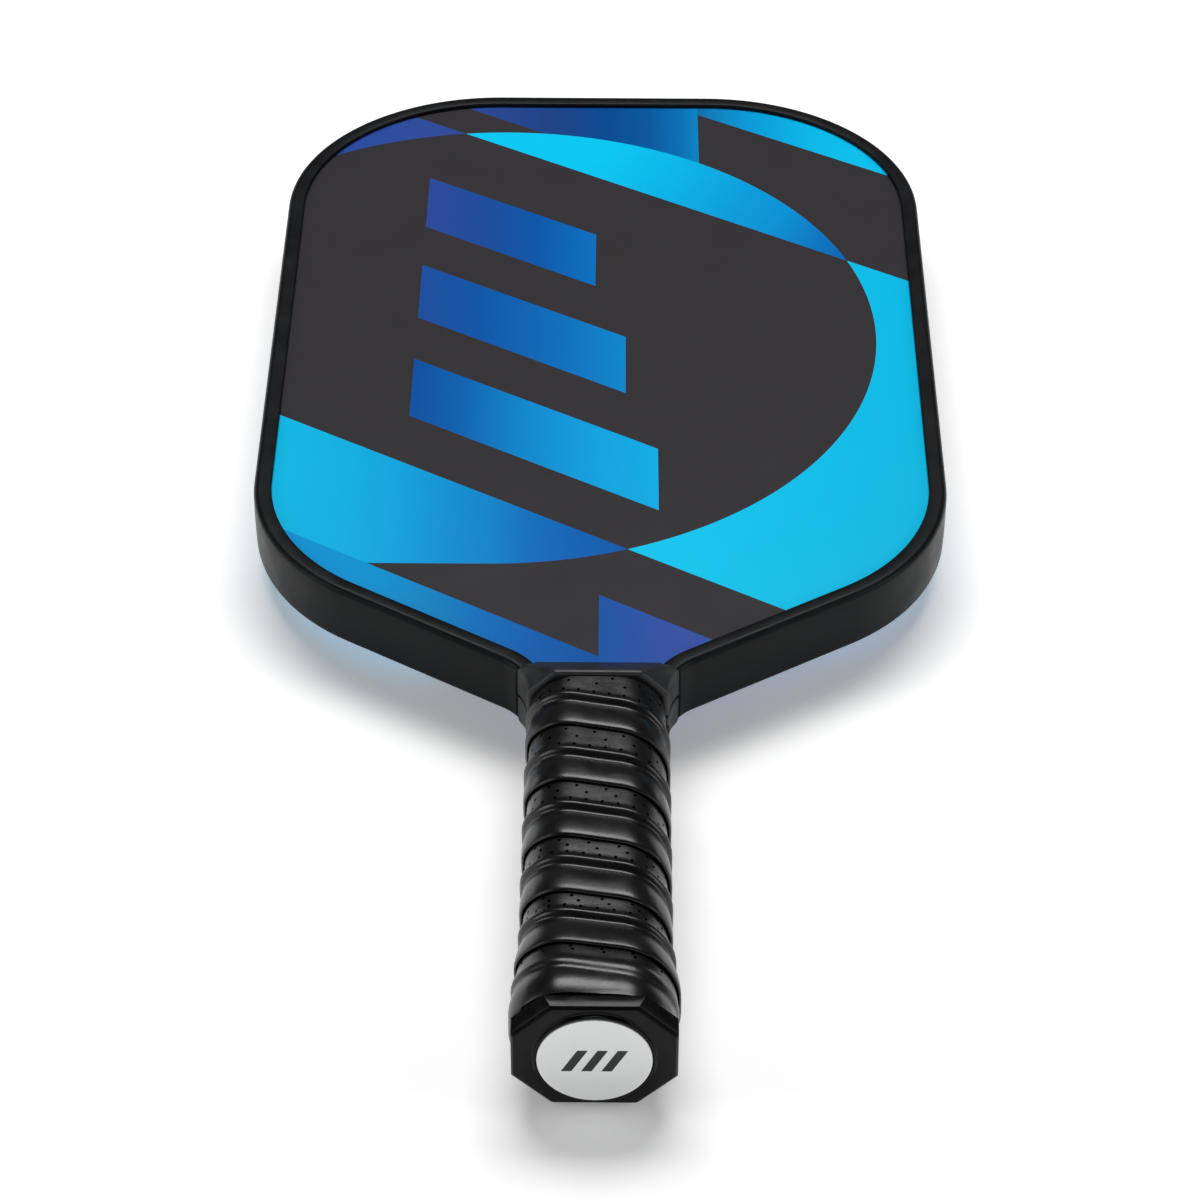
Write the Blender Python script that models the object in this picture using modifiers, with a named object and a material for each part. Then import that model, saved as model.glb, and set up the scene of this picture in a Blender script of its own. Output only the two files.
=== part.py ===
"""Pickleball paddle, modelled as the separate pieces that it comes apart into.

A honeycomb core with two skins runs from the head down into the handle as a tongue. Printed films cover
the skins, a channel-shaped guard is bonded round the rim, and two half shells, a butt cap and a ribbed
grip tape build up the eight-sided handle.

Run with:  blender --background --python part.py

Sizes are in metres. Here y is measured from the butt end and z from the paddle's mid-plane; the empty
that every piece is parented to then puts the paddle's middle over the world origin, standing on z = 0.
"""
import math

import bmesh
import bpy
from mathutils import Matrix, Vector

# ------------------------------------------------------------------------------- driving sizes
GAP = 0.0003                       # clearance that pieces lying against each other keep
TOTAL_LENGTH = 0.412
MIRRORED = -1.0                    # z factor that turns a front piece into its back twin

# Outline of the edge guard: four straight edges of the right half, and the corners between them.
NECK_HALF_WIDTH = 0.0179
SHOULDER_CROSSING = 0.1150         # y at which the shoulder's line would meet the centre line
SHOULDER_ANGLE = math.radians(32.2)
SIDE_CROSSING = 0.0924             # x at which the side's line would meet y = 0
SIDE_LEAN = math.radians(0.7)
THROAT_RADIUS = 0.015
SHOULDER_RADIUS = 0.059
CROWN_RADIUS = 0.0636
OUTLINE_STEPS = 12                 # segments in each corner of the outline
OUTLINE_START = 0.1000             # outlines begin in the neck and are then cut where a piece ends

# Layers of the head, from the mid-plane outwards.
CORE_HALF_DEPTH = 0.0059
SKIN_DEPTH = 0.0005
FILM_DEPTH = 0.0003
SKIN_Z = CORE_HALF_DEPTH + GAP
FILM_Z = SKIN_Z + SKIN_DEPTH + GAP
FACE_Z = FILM_Z + FILM_DEPTH       # the playing surface

CELL_PITCH = 0.0158                # distance between neighbouring honeycomb cells
CELL_WALL = 0.0013
CORE_RIM = 0.0022                  # solid border left round the cells

# Edge guard: a channel that grips the rim of the head.
GUARD_WEB = 0.0016
GUARD_LIP_WIDTH = 0.0050
GUARD_LIP_DEPTH = 0.0012
GUARD_ROUNDING = 0.0013
GUARD_HALF_DEPTH = FACE_Z + GAP + GUARD_LIP_DEPTH
GUARD_TAIL_END = 0.1273             # the guard butts against the throat covers here
RIM_TAPE_DEPTH = 0.0005
PANEL_INSET = GUARD_WEB + GAP + RIM_TAPE_DEPTH + GAP
FILM_INSET = PANEL_INSET + 0.0006
RIM_TAPE_END = 0.1340

# Handle section: an octagon, a little wider than it is deep.
HANDLE_HALF_WIDTH = 0.0154
HANDLE_HALF_DEPTH = 0.0121
HANDLE_CHAMFER = 0.0056
HANDLE_ROUNDING = 0.0015
HANDLE_END = 0.0045
TONGUE_HALF_WIDTH = 0.0108
TONGUE_END = 0.0055
BOND_DEPTH = 0.0003
BOND_HALF_WIDTH = 0.0102
BOND_START = 0.0100
SHELL_FLOOR = FILM_Z + BOND_DEPTH + GAP
SHELL_SIDES_END = 0.1145           # above this the shells are only pads on the two faces
SHELL_TOP = 0.1290
BOND_END = SHELL_TOP - 0.0020
FILM_START = 0.1300

# Throat covers: two halves of a collar that closes the neck between the grip and the head.
COVER_DEPTH = 0.00245
COVER_TOP = 0.1296
COVER_SEAM = GUARD_TAIL_END - GAP       # the collar's flanks end here, its foot goes on between the lips
COVER_LIP_WIDTH = 0.0170
COVER_STEPS = 6
RAMP_POINT = Vector((0.1196, 0.0149))   # y and z of the slope's upper end
RAMP_ANGLE = math.radians(31.0)
GRIP_TOP = 0.1179

# Butt cap: flange, then a skirt under the grip that flares towards the butt.
CAP_FACE = 0.0012
CAP_BEVEL = 0.0008
CAP_FLANGE_END = 0.0054
CAP_FLANGE_OFFSET = 0.0037
CAP_FLOOR = 0.0042
CAP_SKIRT_END = 0.0280
CAP_ROUNDING = 0.0012
CAP_CHAMFER = 0.0093               # of the flange, deeper than the chamfer of the handle over it
FLARE_STATIONS = ((0.0, 0.0020), (0.017, 0.0020), (0.026, 0.0010), (0.035, 0.0))
BOSS_RADIUS = 0.0140
BOSS_FACE = 0.0002
LABEL_RADIUS = 0.0132
LABEL_DEPTH = 0.0005
TACK_Y = 0.0125
TACK_HEAD_RADIUS = 0.0024
TACK_HEAD_DEPTH = 0.0006
TACK_SHANK_RADIUS = 0.0007
TACK_LENGTH = 0.0052

# Grip tape: one strip wound in a helix, each turn lapping over the edge of the turn below it.
GRIP_PITCH = 0.0192
GRIP_START = 0.1125                # y of the strip's lower edge where the winding begins
GRIP_STOP = -0.0180
GRIP_BUTT_EDGE = 0.0057
GRIP_START_STATION = 6             # ring point on the right side, lower corner
RIB_HEIGHT_ON_STRIP = 0.0112       # from the strip's lower edge to the crest of its rib
CORD_RADIUS = 0.00065
CORD_TOP = 0.1105
CORD_BOTTOM = 0.0085
CORD_START_TURN = 0.70

# Section of the strip as (height above its lower edge, distance from the handle).
STRIP_OUTSIDE = (
    (0.0000, 0.00250), (0.0004, 0.00265), (0.0045, 0.00260), (0.0083, 0.00205), (0.0090, 0.00195),
    (0.0099, 0.00245), (0.0112, 0.00275), (0.0125, 0.00245), (0.0134, 0.00185),
    (0.0193, 0.00180), (0.0199, 0.00165), (0.0236, 0.00100),
)
STRIP_INSIDE = (
    (0.0236, GAP), (0.0196, GAP), (0.0158, GAP), (0.0123, GAP), (0.0120, 0.0019), (0.0104, 0.0019),
    (0.0101, GAP), (0.0077, GAP), (0.0052, GAP), (0.0046, 0.0015), (0.0000, 0.00205),
)

ROOM = 0.5                         # size of a cutter that has to reach past everything


# ------------------------------------------------------------------------------- scene helpers
def clear_scene():
    for item in list(bpy.data.objects):
        bpy.data.objects.remove(item, do_unlink=True)


def new_collection(name):
    collection = bpy.data.collections.new(name)
    bpy.context.scene.collection.children.link(collection)
    return collection


clear_scene()
PIECES = new_collection("pickleball_paddle")
CUTTERS = new_collection("cutters")
ASSEMBLY = bpy.data.objects.new("assembly", None)
PIECES.objects.link(ASSEMBLY)


def material(name, colour, roughness, metallic=0.0):
    made = bpy.data.materials.new(name)
    made.use_nodes = True
    surface = made.node_tree.nodes["Principled BSDF"]
    surface.inputs["Base Color"].default_value = (*colour, 1.0)
    surface.inputs["Roughness"].default_value = roughness
    surface.inputs["Metallic"].default_value = metallic
    made.diffuse_color = (*colour, 1.0)
    return made


def add_object(name, data, collection=PIECES):
    made = bpy.data.objects.new(name, data)
    collection.objects.link(made)
    made.parent = ASSEMBLY
    if collection is CUTTERS:
        made.hide_render = True
        made.display_type = "WIRE"
    return made


def add_mesh(name, shape, collection=PIECES):
    """Turn a bmesh into an object with its faces turned outwards."""
    bmesh.ops.recalc_face_normals(shape, faces=shape.faces)
    mesh = bpy.data.meshes.new(name)
    shape.to_mesh(mesh)
    shape.free()
    return add_object(name, mesh, collection)


def baked(piece, name, collection=PIECES, z_factor=1.0):
    """A plain mesh copy of an object as it looks with its modifiers on, mirrored in z if asked."""
    depsgraph = bpy.context.evaluated_depsgraph_get()
    mesh = bpy.data.meshes.new_from_object(piece.evaluated_get(depsgraph))
    shape = bmesh.new()
    shape.from_mesh(mesh)
    bmesh.ops.remove_doubles(shape, verts=shape.verts, dist=1e-6)
    bmesh.ops.scale(shape, vec=(1.0, 1.0, z_factor), verts=shape.verts)
    made = add_mesh(name, shape, collection)
    for slot in mesh.materials:
        made.data.materials.append(slot)
    bpy.data.meshes.remove(mesh)
    return made


def combine(piece, other, operation="DIFFERENCE"):
    step = piece.modifiers.new(operation.lower() + "_" + other.name, "BOOLEAN")
    step.operation = operation
    step.solver = "EXACT"
    step.object = other
    return piece


def cut(piece, *cutters):
    for cutter in cutters:
        combine(piece, cutter)
    return piece


# ------------------------------------------------------------------------------- shape helpers
def rounded(points, radii, steps, closed=False):
    """Round the corners of a polyline with arcs; an open line keeps its two end points."""
    count = len(points)
    made = []
    for index, point in enumerate(points):
        if not closed and index in (0, count - 1):
            made.append(point.copy())
            continue
        arriving = (point - points[index - 1]).normalized()
        leaving = (points[(index + 1) % count] - point).normalized()
        turn = arriving.angle_signed(leaving)
        reach = radii[index] * math.tan(abs(turn) / 2)
        start = point - arriving * reach
        side = Vector((arriving.y, -arriving.x)) * math.copysign(radii[index], turn)
        centre = start + side
        for step in range(steps + 1):
            made.append(centre + Matrix.Rotation(-turn * step / steps, 2) @ (start - centre))
    return made


def crossing(first, second):
    """Where two lines meet, each given as a point and a direction."""
    (point, along), (other, across) = first, second
    reach = (other - point).cross(across) / along.cross(across)
    return point + along * reach


def head_outline(inset, start, neck_half_width=None):
    """The paddle's outline moved inwards by inset, from the neck at y = start all the way round."""
    if neck_half_width is None:
        neck_half_width = NECK_HALF_WIDTH - inset
    shoulder = Vector((math.cos(SHOULDER_ANGLE), math.sin(SHOULDER_ANGLE)))
    side = Vector((math.sin(SIDE_LEAN), math.cos(SIDE_LEAN)))
    edges = (
        (Vector((neck_half_width + inset, 0)), Vector((0, 1))),
        (Vector((0, SHOULDER_CROSSING)), shoulder),
        (Vector((SIDE_CROSSING, 0)), side),
        (Vector((0, TOTAL_LENGTH)), Vector((-1, 0))),
    )
    moved = [(point + Vector((-along.y, along.x)) * inset, along) for point, along in edges]
    corners = [crossing(moved[index], moved[index + 1]) for index in range(3)]
    points = [Vector((moved[0][0].x, start)), *corners, Vector((0, TOTAL_LENGTH - inset))]
    radii = (0, THROAT_RADIUS + inset, SHOULDER_RADIUS - inset, CROWN_RADIUS - inset, 0)
    right = rounded(points, radii, OUTLINE_STEPS)[:-1]
    left = [Vector((-point.x, point.y)) for point in reversed(right)]
    return right + left


def slab(name, points, low, high, collection=PIECES):
    """A flat piece with the given outline, between two heights: a filled curve made into a mesh."""
    curve = bpy.data.curves.new(name + "_outline", "CURVE")
    curve.dimensions = "2D"
    curve.fill_mode = "BOTH"
    curve.extrude = (high - low) / 2
    line = curve.splines.new("POLY")
    line.points.add(len(points) - 1)
    for knot, point in zip(line.points, points):
        knot.co = (point.x, point.y, 0, 1)
    line.use_cyclic_u = True
    flat = add_object(name + "_curve", curve, CUTTERS)
    made = baked(flat, name, collection)
    made.location.z = (low + high) / 2
    bpy.data.objects.remove(flat, do_unlink=True)
    return made


def box(name, low, high, collection=CUTTERS):
    shape = bmesh.new()
    bmesh.ops.create_cube(shape, size=1.0)
    size = Vector(high) - Vector(low)
    bmesh.ops.scale(shape, vec=size, verts=shape.verts)
    made = add_mesh(name, shape, collection)
    made.location = (Vector(low) + Vector(high)) / 2
    return made


def drum(shape, start, end, radius, segments=48):
    """Add a closed cylinder between two points to a bmesh."""
    start, end = Vector(start), Vector(end)
    turn = (end - start).to_track_quat("Z", "Y").to_matrix().to_4x4()
    bmesh.ops.create_cone(
        shape, cap_ends=True, segments=segments, radius1=radius, radius2=radius,
        depth=(end - start).length, matrix=Matrix.Translation((start + end) / 2) @ turn,
    )


def drums(name, parts, collection=CUTTERS, segments=48):
    """One object made of closed cylinders, each given as (start, end, radius)."""
    shape = bmesh.new()
    for start, end, radius in parts:
        drum(shape, start, end, radius, segments)
    return add_mesh(name, shape, collection)


def eight_sided(wide, deep, chamfer, radius):
    """An octagon with rounded corners as (x, z) points.

    It runs to the right along the front flat, down the right side and back along the rear.
    """
    flat = wide - chamfer
    edge = deep - chamfer
    corners = [Vector(xz) for xz in (
        (flat, deep), (wide, edge), (wide, -edge), (flat, -deep),
        (-flat, -deep), (-wide, -edge), (-wide, edge), (-flat, deep),
    )]
    return rounded(corners, [radius] * len(corners), 2, closed=True)


def handle_ring(offset, rounding=None):
    """The handle's section, moved outwards by offset."""
    chamfer = HANDLE_CHAMFER + offset * (2 - math.sqrt(2))
    radius = HANDLE_ROUNDING + offset if rounding is None else rounding
    return eight_sided(HANDLE_HALF_WIDTH + offset, HANDLE_HALF_DEPTH + offset, chamfer, radius)


def loft(name, rings, collection=PIECES):
    """A closed solid through rings of points, all with the same number of points."""
    shape = bmesh.new()
    loops = [[shape.verts.new(point) for point in ring] for ring in rings]
    for loop, following in zip(loops, loops[1:]):
        for index, corner in enumerate(loop):
            after = (index + 1) % len(loop)
            shape.faces.new((corner, loop[after], following[after], following[index]))
    shape.faces.new(loops[0])
    shape.faces.new(reversed(loops[-1]))
    return add_mesh(name, shape, collection)


def handle_stack(name, stations, collection=PIECES, rounding=None):
    """A solid with the handle's section, through stations given as (y, offset)."""
    rings = []
    for y, offset in stations:
        rings.append([(point.x, y, point.y) for point in handle_ring(offset, rounding)])
    return loft(name, rings, collection)


def flare(y):
    """How far the butt end's flare lifts the grip off the plain handle section."""
    for (low, first), (high, second) in zip(FLARE_STATIONS, FLARE_STATIONS[1:]):
        if y <= high:
            share = max(0.0, (y - low) / (high - low))
            return first + (second - first) * share
    return 0.0


def ramp_cutter(name, sink):
    """Everything above the throat's slope, which is lowered by sink at right angles to itself."""
    normal = Vector((math.sin(RAMP_ANGLE), math.cos(RAMP_ANGLE)))
    foot = RAMP_POINT - normal * sink
    made = box(name, (-ROOM / 2, -ROOM / 2, 0), (ROOM / 2, ROOM / 2, ROOM / 2))
    made.rotation_euler.x = -RAMP_ANGLE
    middle = foot + normal * ROOM / 4
    made.location = (0, middle.x, middle.y)
    return made


# ------------------------------------------------------------------------------- head
def panel_outline():
    return head_outline(PANEL_INSET, TONGUE_END, TONGUE_HALF_WIDTH)


def inside(point, outline):
    """Whether a point lies inside a closed outline, by counting the edges to its right."""
    within = False
    for index, corner in enumerate(outline):
        before = outline[index - 1]
        if (corner.y > point.y) != (before.y > point.y):
            share = (point.y - corner.y) / (before.y - corner.y)
            within ^= point.x < corner.x + (before.x - corner.x) * share
    return within


def make_core(polymer):
    """Honeycomb panel: every cell that fits inside the rim is a six-sided hole right through."""
    core = slab("honeycomb_core", panel_outline(), -CORE_HALF_DEPTH, CORE_HALF_DEPTH)
    border = head_outline(PANEL_INSET + CORE_RIM, TONGUE_END + CORE_RIM, TONGUE_HALF_WIDTH - CORE_RIM)
    corner_radius = (CELL_PITCH - CELL_WALL) / math.sqrt(3)
    corner_turns = [math.radians(60 * index) for index in range(6)]
    column_step = CELL_PITCH * math.sqrt(3) / 2
    columns = math.ceil(SIDE_CROSSING / column_step) + 1
    cells = bmesh.new()
    for column in range(-columns, columns + 1):
        first = CELL_PITCH * (1.0 if column % 2 else 0.5)
        for row in range(math.ceil(TOTAL_LENGTH / CELL_PITCH)):
            centre = Vector((column * column_step, first + row * CELL_PITCH))
            corners = [
                centre + Vector((math.cos(turn), math.sin(turn))) * corner_radius for turn in corner_turns
            ]
            if not all(inside(corner, border) for corner in corners):
                continue
            where = Matrix.Translation((centre.x, centre.y, 0)) @ Matrix.Rotation(math.radians(30), 4, "Z")
            bmesh.ops.create_cone(
                cells, cap_ends=True, segments=6, radius1=corner_radius, radius2=corner_radius,
                depth=4 * CORE_HALF_DEPTH, matrix=where,
            )
    cut(core, add_mesh("cell_cutter", cells, CUTTERS))
    core.data.materials.append(polymer)


def make_skins(laminate):
    for name, side in (("front_skin", 1), ("back_skin", -1)):
        low, high = sorted((side * SKIN_Z, side * (SKIN_Z + SKIN_DEPTH)))
        slab(name, panel_outline(), low, high).data.materials.append(laminate)


def make_films(print_film):
    below = box("film_cutter", (-ROOM, -ROOM, -ROOM), (ROOM, FILM_START, ROOM))
    for name, side in (("front_graphic_film", 1), ("back_graphic_film", -1)):
        low, high = sorted((side * FILM_Z, side * FACE_Z))
        film = slab(name, head_outline(FILM_INSET, OUTLINE_START), low, high)
        cut(film, below)
        film.data.materials.append(print_film)


def make_guard(moulding):
    """Edge guard: a rounded slab, less the window over the face and the channel that holds the rim."""
    guard = slab("edge_guard", head_outline(0, OUTLINE_START), -GUARD_HALF_DEPTH, GUARD_HALF_DEPTH)
    edge = guard.modifiers.new("rounded_edges", "BEVEL")
    edge.width = GUARD_ROUNDING
    edge.segments = 3
    edge.angle_limit = math.radians(60)
    past_the_tails = OUTLINE_START - 0.02
    window = slab(
        "window_cutter", head_outline(GUARD_LIP_WIDTH, past_the_tails),
        -ROOM / 2, ROOM / 2, CUTTERS,
    )
    channel = slab(
        "channel_cutter", head_outline(GUARD_WEB, past_the_tails),
        -FACE_Z - GAP, FACE_Z + GAP, CUTTERS,
    )
    neck = box("neck_cutter", (-ROOM, -ROOM, -ROOM), (ROOM, GUARD_TAIL_END, ROOM))
    cut(guard, window, channel, neck)
    foot = COVER_LIP_WIDTH + GAP
    for side in (1, -1):
        low, high = sorted((side * FACE_Z, side * ROOM))
        cut(guard, box("lip_cutter", (-foot, past_the_tails, low), (foot, COVER_TOP + GAP, high)))
    guard.data.materials.append(moulding)


def make_rim_tape(adhesive):
    """Bonding tape between the rim of the panel and the web of the guard."""
    half_depth = CORE_HALF_DEPTH
    outer = GUARD_WEB + GAP
    start = RIM_TAPE_END
    tape = slab("guard_bonding_tape", head_outline(outer, OUTLINE_START), -half_depth, half_depth)
    hollow = slab(
        "rim_tape_cutter", head_outline(outer + RIM_TAPE_DEPTH, OUTLINE_START - 0.01),
        -ROOM / 2, ROOM / 2, CUTTERS,
    )
    cut(tape, hollow, box("rim_tape_end_cutter", (-ROOM, -ROOM, -ROOM), (ROOM, start, ROOM)))
    tape.data.materials.append(adhesive)


# ------------------------------------------------------------------------------- handle
def make_shells(foam):
    """Two half shells that clasp the panel's tongue and end in a sloping pad on each face."""
    shell = handle_stack("handle_shell_front", ((HANDLE_END, 0), (SHELL_TOP, 0)))
    tongue_room = TONGUE_HALF_WIDTH + GAP
    cut(
        shell,
        box("half_cutter", (-ROOM, -ROOM, -ROOM), (ROOM, ROOM, GAP / 2)),
        box("tongue_cutter", (-tongue_room, -ROOM, -ROOM), (tongue_room, ROOM, SHELL_FLOOR)),
        box("neck_cutter", (-ROOM, SHELL_SIDES_END, -ROOM), (ROOM, ROOM, SHELL_FLOOR)),
        ramp_cutter("shell_ramp_cutter", COVER_DEPTH + GAP),
        *tack_holes("shell_tack_cutter"),
    )
    shell.data.materials.append(foam)
    baked(shell, "handle_shell_back", z_factor=MIRRORED)


def make_shell_bonds(adhesive):
    half_width = BOND_HALF_WIDTH
    for name, side in (("shell_bonding_tape_front", 1), ("shell_bonding_tape_back", -1)):
        low, high = sorted((side * FILM_Z, side * (FILM_Z + BOND_DEPTH)))
        bond = box(name, (-half_width, BOND_START, low), (half_width, BOND_END, high), PIECES)
        bond.data.materials.append(adhesive)


def neck_half_width(y):
    """Half the width of the guard's outline in the neck, where it curves out towards the shoulders."""
    reach = THROAT_RADIUS * math.tan((math.pi / 2 - SHOULDER_ANGLE) / 2)
    corner = SHOULDER_CROSSING + NECK_HALF_WIDTH * math.tan(SHOULDER_ANGLE)
    past = max(0.0, y - (corner - reach))
    return NECK_HALF_WIDTH + THROAT_RADIUS - math.sqrt(THROAT_RADIUS ** 2 - past ** 2)


def make_covers(moulding):
    """A collar in two halves: flanks flush with the guard, and a slope that runs out on the face."""
    over_grip = COVER_DEPTH + GAP
    deep = HANDLE_HALF_DEPTH + over_grip
    start = GRIP_TOP + GAP
    first = HANDLE_CHAMFER + over_grip * (2 - math.sqrt(2))
    last = deep - GUARD_HALF_DEPTH
    rings = []
    for step in range(COVER_STEPS + 1):
        share = step / COVER_STEPS
        y = start + (COVER_SEAM - start) * share
        wide = HANDLE_HALF_WIDTH + over_grip + neck_half_width(y) - NECK_HALF_WIDTH
        rings.append([
            (point.x, y, point.y)
            for point in eight_sided(wide, deep, first + (last - first) * share, HANDLE_ROUNDING)
        ])
    rings.append([(x, COVER_TOP, z) for x, _, z in rings[-1]])
    cover = loft("throat_cover_front", rings)
    inner = handle_stack("cover_inner_cutter", ((0, GAP), (SHELL_TOP + GAP, GAP)), CUTTERS)
    cut(inner, ramp_cutter("cover_ramp_inner_cutter", COVER_DEPTH))
    cut(
        cover,
        inner,
        ramp_cutter("cover_ramp_cutter", 0),
        box("cover_half_cutter", (-ROOM, -ROOM, -ROOM), (ROOM, ROOM, GAP / 2)),
        box("cover_foot_cutter", (-ROOM, COVER_SEAM, -ROOM), (ROOM, ROOM, FACE_Z + GAP)),
        box("cover_right_cutter", (COVER_LIP_WIDTH, COVER_SEAM, -ROOM), (ROOM, ROOM, ROOM)),
        box("cover_left_cutter", (-ROOM, COVER_SEAM, -ROOM), (-COVER_LIP_WIDTH, ROOM, ROOM)),
    )
    cover.data.materials.append(moulding)
    baked(cover, "throat_cover_back", z_factor=MIRRORED)


def tack_parts(side, room=0.0):
    """Shank and head of one side's tack, as cylinders along x, grown by room for their holes."""
    seat = HANDLE_HALF_WIDTH + flare(TACK_Y) - GAP
    head_top = side * (seat + 3 * room)
    head_foot = side * (seat - TACK_HEAD_DEPTH - room)
    shank_top = side * (seat - TACK_HEAD_DEPTH / 2)
    shank_foot = side * (seat - TACK_LENGTH - room)
    shank = ((shank_foot, TACK_Y, 0), (shank_top, TACK_Y, 0), TACK_SHANK_RADIUS + room)
    head = ((head_foot, TACK_Y, 0), (head_top, TACK_Y, 0), TACK_HEAD_RADIUS + room)
    return shank, head


def tack_holes(name):
    """Cutters for the holes of both tacks."""
    return [drums(name, [part]) for side in (1, -1) for part in tack_parts(side, GAP)]


def make_tacks(steel):
    """A tack on each side holds the cap: a head and a shank joined into one solid."""
    for name, side in (("butt_cap_tack_right", 1), ("butt_cap_tack_left", -1)):
        shank, head = tack_parts(side)
        tack = drums(name, [shank], PIECES, 12)
        combine(tack, drums("tack_head", [head], segments=24), "UNION")
        tack.data.materials.append(steel)


def cap_ring(y, offset):
    """A ring of the cap's flange."""
    chamfer = CAP_CHAMFER - (CAP_FLANGE_OFFSET - offset) * (2 - math.sqrt(2))
    section = eight_sided(HANDLE_HALF_WIDTH + offset, HANDLE_HALF_DEPTH + offset, chamfer, CAP_ROUNDING)
    return [(point.x, y, point.y) for point in section]


def make_cap(moulding):
    """Butt cap: an eight-sided cup with a flange, a flared skirt and a round boss for the label."""
    rings = [
        cap_ring(CAP_FACE, CAP_FLANGE_OFFSET - CAP_BEVEL),
        cap_ring(CAP_FACE + CAP_BEVEL, CAP_FLANGE_OFFSET),
        cap_ring(CAP_FLANGE_END, CAP_FLANGE_OFFSET),
    ]
    stations = [CAP_FLANGE_END]
    stations += [y for y, _ in FLARE_STATIONS if CAP_FLANGE_END < y < CAP_SKIRT_END]
    for y in stations + [CAP_SKIRT_END]:
        rings.append([(point.x, y, point.y) for point in handle_ring(flare(y), CAP_ROUNDING)])
    cap = loft("butt_cap", rings)
    boss = drums("boss", [((0, BOSS_FACE, 0), (0, CAP_FLOOR - CAP_BEVEL, 0), BOSS_RADIUS)], segments=64)
    seat_floor = LABEL_DEPTH + GAP
    seat = drums("label_seat_cutter", [((0, -1, 0), (0, seat_floor, 0), LABEL_RADIUS + GAP)], segments=64)
    combine(cap, boss, "UNION")
    cut(
        cap,
        handle_stack("cap_pocket_cutter", ((CAP_FLOOR, GAP), (CAP_SKIRT_END + GAP, GAP)), CUTTERS),
        seat,
        *tack_holes("cap_tack_cutter"),
    )
    cap.data.materials.append(moulding)


def make_label(foil):
    label = drums("butt_label", [((0, 0, 0), (0, LABEL_DEPTH, 0), LABEL_RADIUS)], PIECES, 64)
    label.data.materials.append(foil)


# ------------------------------------------------------------------------------- grip
def helix_stations():
    """Walk down the handle round its section: (ring point number, y of the strip's lower edge)."""
    ring = handle_ring(0)
    count = len(ring)
    steps = [(ring[(index + 1) % count] - ring[index]).length for index in range(count)]
    around = sum(steps)
    index, y = GRIP_START_STATION, GRIP_START
    while y > GRIP_STOP:
        yield index, y
        y -= GRIP_PITCH * steps[index] / around
        index = (index + 1) % count


def on_handle(index, y, distance):
    """A point over the handle, at a ring point, a height and a distance from the flared surface."""
    point = handle_ring(distance + flare(y))[index]
    return point.x, y, point.y


def make_grip_tape(polyurethane):
    """The strip is lofted along its helix, then trimmed at the butt and at the throat covers."""
    section = STRIP_OUTSIDE + STRIP_INSIDE
    rings = []
    for index, edge in helix_stations():
        rings.append([on_handle(index, edge + height, distance) for height, distance in section])
    tape = loft("grip_tape", rings)
    cut(
        tape,
        box("grip_top_cutter", (-ROOM, GRIP_TOP, -ROOM), (ROOM, ROOM, ROOM)),
        box("grip_butt_cutter", (-ROOM, -ROOM, -ROOM), (ROOM, GRIP_BUTT_EDGE, ROOM)),
    )
    tape.data.materials.append(polyurethane)


def make_rib_cord(foam):
    """The cord under the tape that raises its rib: a tube along the same helix."""
    curve = bpy.data.curves.new("grip_rib_cord", "CURVE")
    curve.dimensions = "3D"
    curve.bevel_depth = CORD_RADIUS
    curve.bevel_resolution = 2
    curve.use_fill_caps = True
    first_edge = GRIP_START - CORD_START_TURN * GRIP_PITCH
    places = []
    for index, edge in helix_stations():
        crest = edge + RIB_HEIGHT_ON_STRIP
        if edge <= first_edge and CORD_BOTTOM <= crest <= CORD_TOP:
            places.append(on_handle(index, crest, GAP + CORD_RADIUS))
    line = curve.splines.new("POLY")
    line.points.add(len(places) - 1)
    for knot, place in zip(line.points, places):
        knot.co = (*place, 1)
    cord = add_object("grip_rib_cord", curve)
    cord.data.materials.append(foam)


# ------------------------------------------------------------------------------- assembly
def stand_on_ground():
    """Move the assembly so that its middle is over the origin and its lowest point at z = 0."""
    depsgraph = bpy.context.evaluated_depsgraph_get()
    lowest = 0.0
    for piece in PIECES.objects:
        if piece.type == "EMPTY":
            continue
        shape = bpy.data.meshes.new_from_object(piece.evaluated_get(depsgraph))
        lowest = min([lowest] + [(piece.matrix_world @ vertex.co).z for vertex in shape.vertices])
        bpy.data.meshes.remove(shape)
    ASSEMBLY.location = (0, -TOTAL_LENGTH / 2, -lowest)
    bpy.context.view_layer.update()


def build():
    black_moulding = material("black_moulding", (0.028, 0.030, 0.033), 0.42)
    cap_moulding = material("cap_moulding", (0.018, 0.020, 0.024), 0.22)
    core_polymer = material("core_polymer", (0.78, 0.79, 0.76), 0.55)
    skin_laminate = material("skin_laminate", (0.045, 0.047, 0.050), 0.45)
    print_film = material("print_film", (0.0, 0.42, 0.80), 0.38)
    shell_foam = material("shell_foam", (0.70, 0.62, 0.42), 0.85)
    adhesive = material("adhesive", (0.85, 0.83, 0.72), 0.60)
    tack_steel = material("tack_steel", (0.62, 0.62, 0.60), 0.30, 1.0)
    label_foil = material("label_foil", (0.72, 0.74, 0.75), 0.28, 0.2)
    grip_polyurethane = material("grip_polyurethane", (0.022, 0.022, 0.024), 0.48)
    rib_foam = material("rib_foam", (0.30, 0.31, 0.32), 0.90)

    make_core(core_polymer)
    make_skins(skin_laminate)
    make_films(print_film)
    make_guard(black_moulding)
    make_rim_tape(adhesive)
    make_shells(shell_foam)
    make_shell_bonds(adhesive)
    make_covers(black_moulding)
    make_cap(cap_moulding)
    make_tacks(tack_steel)
    make_label(label_foil)
    make_grip_tape(grip_polyurethane)
    make_rib_cord(rib_foam)
    stand_on_ground()


build()
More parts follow.
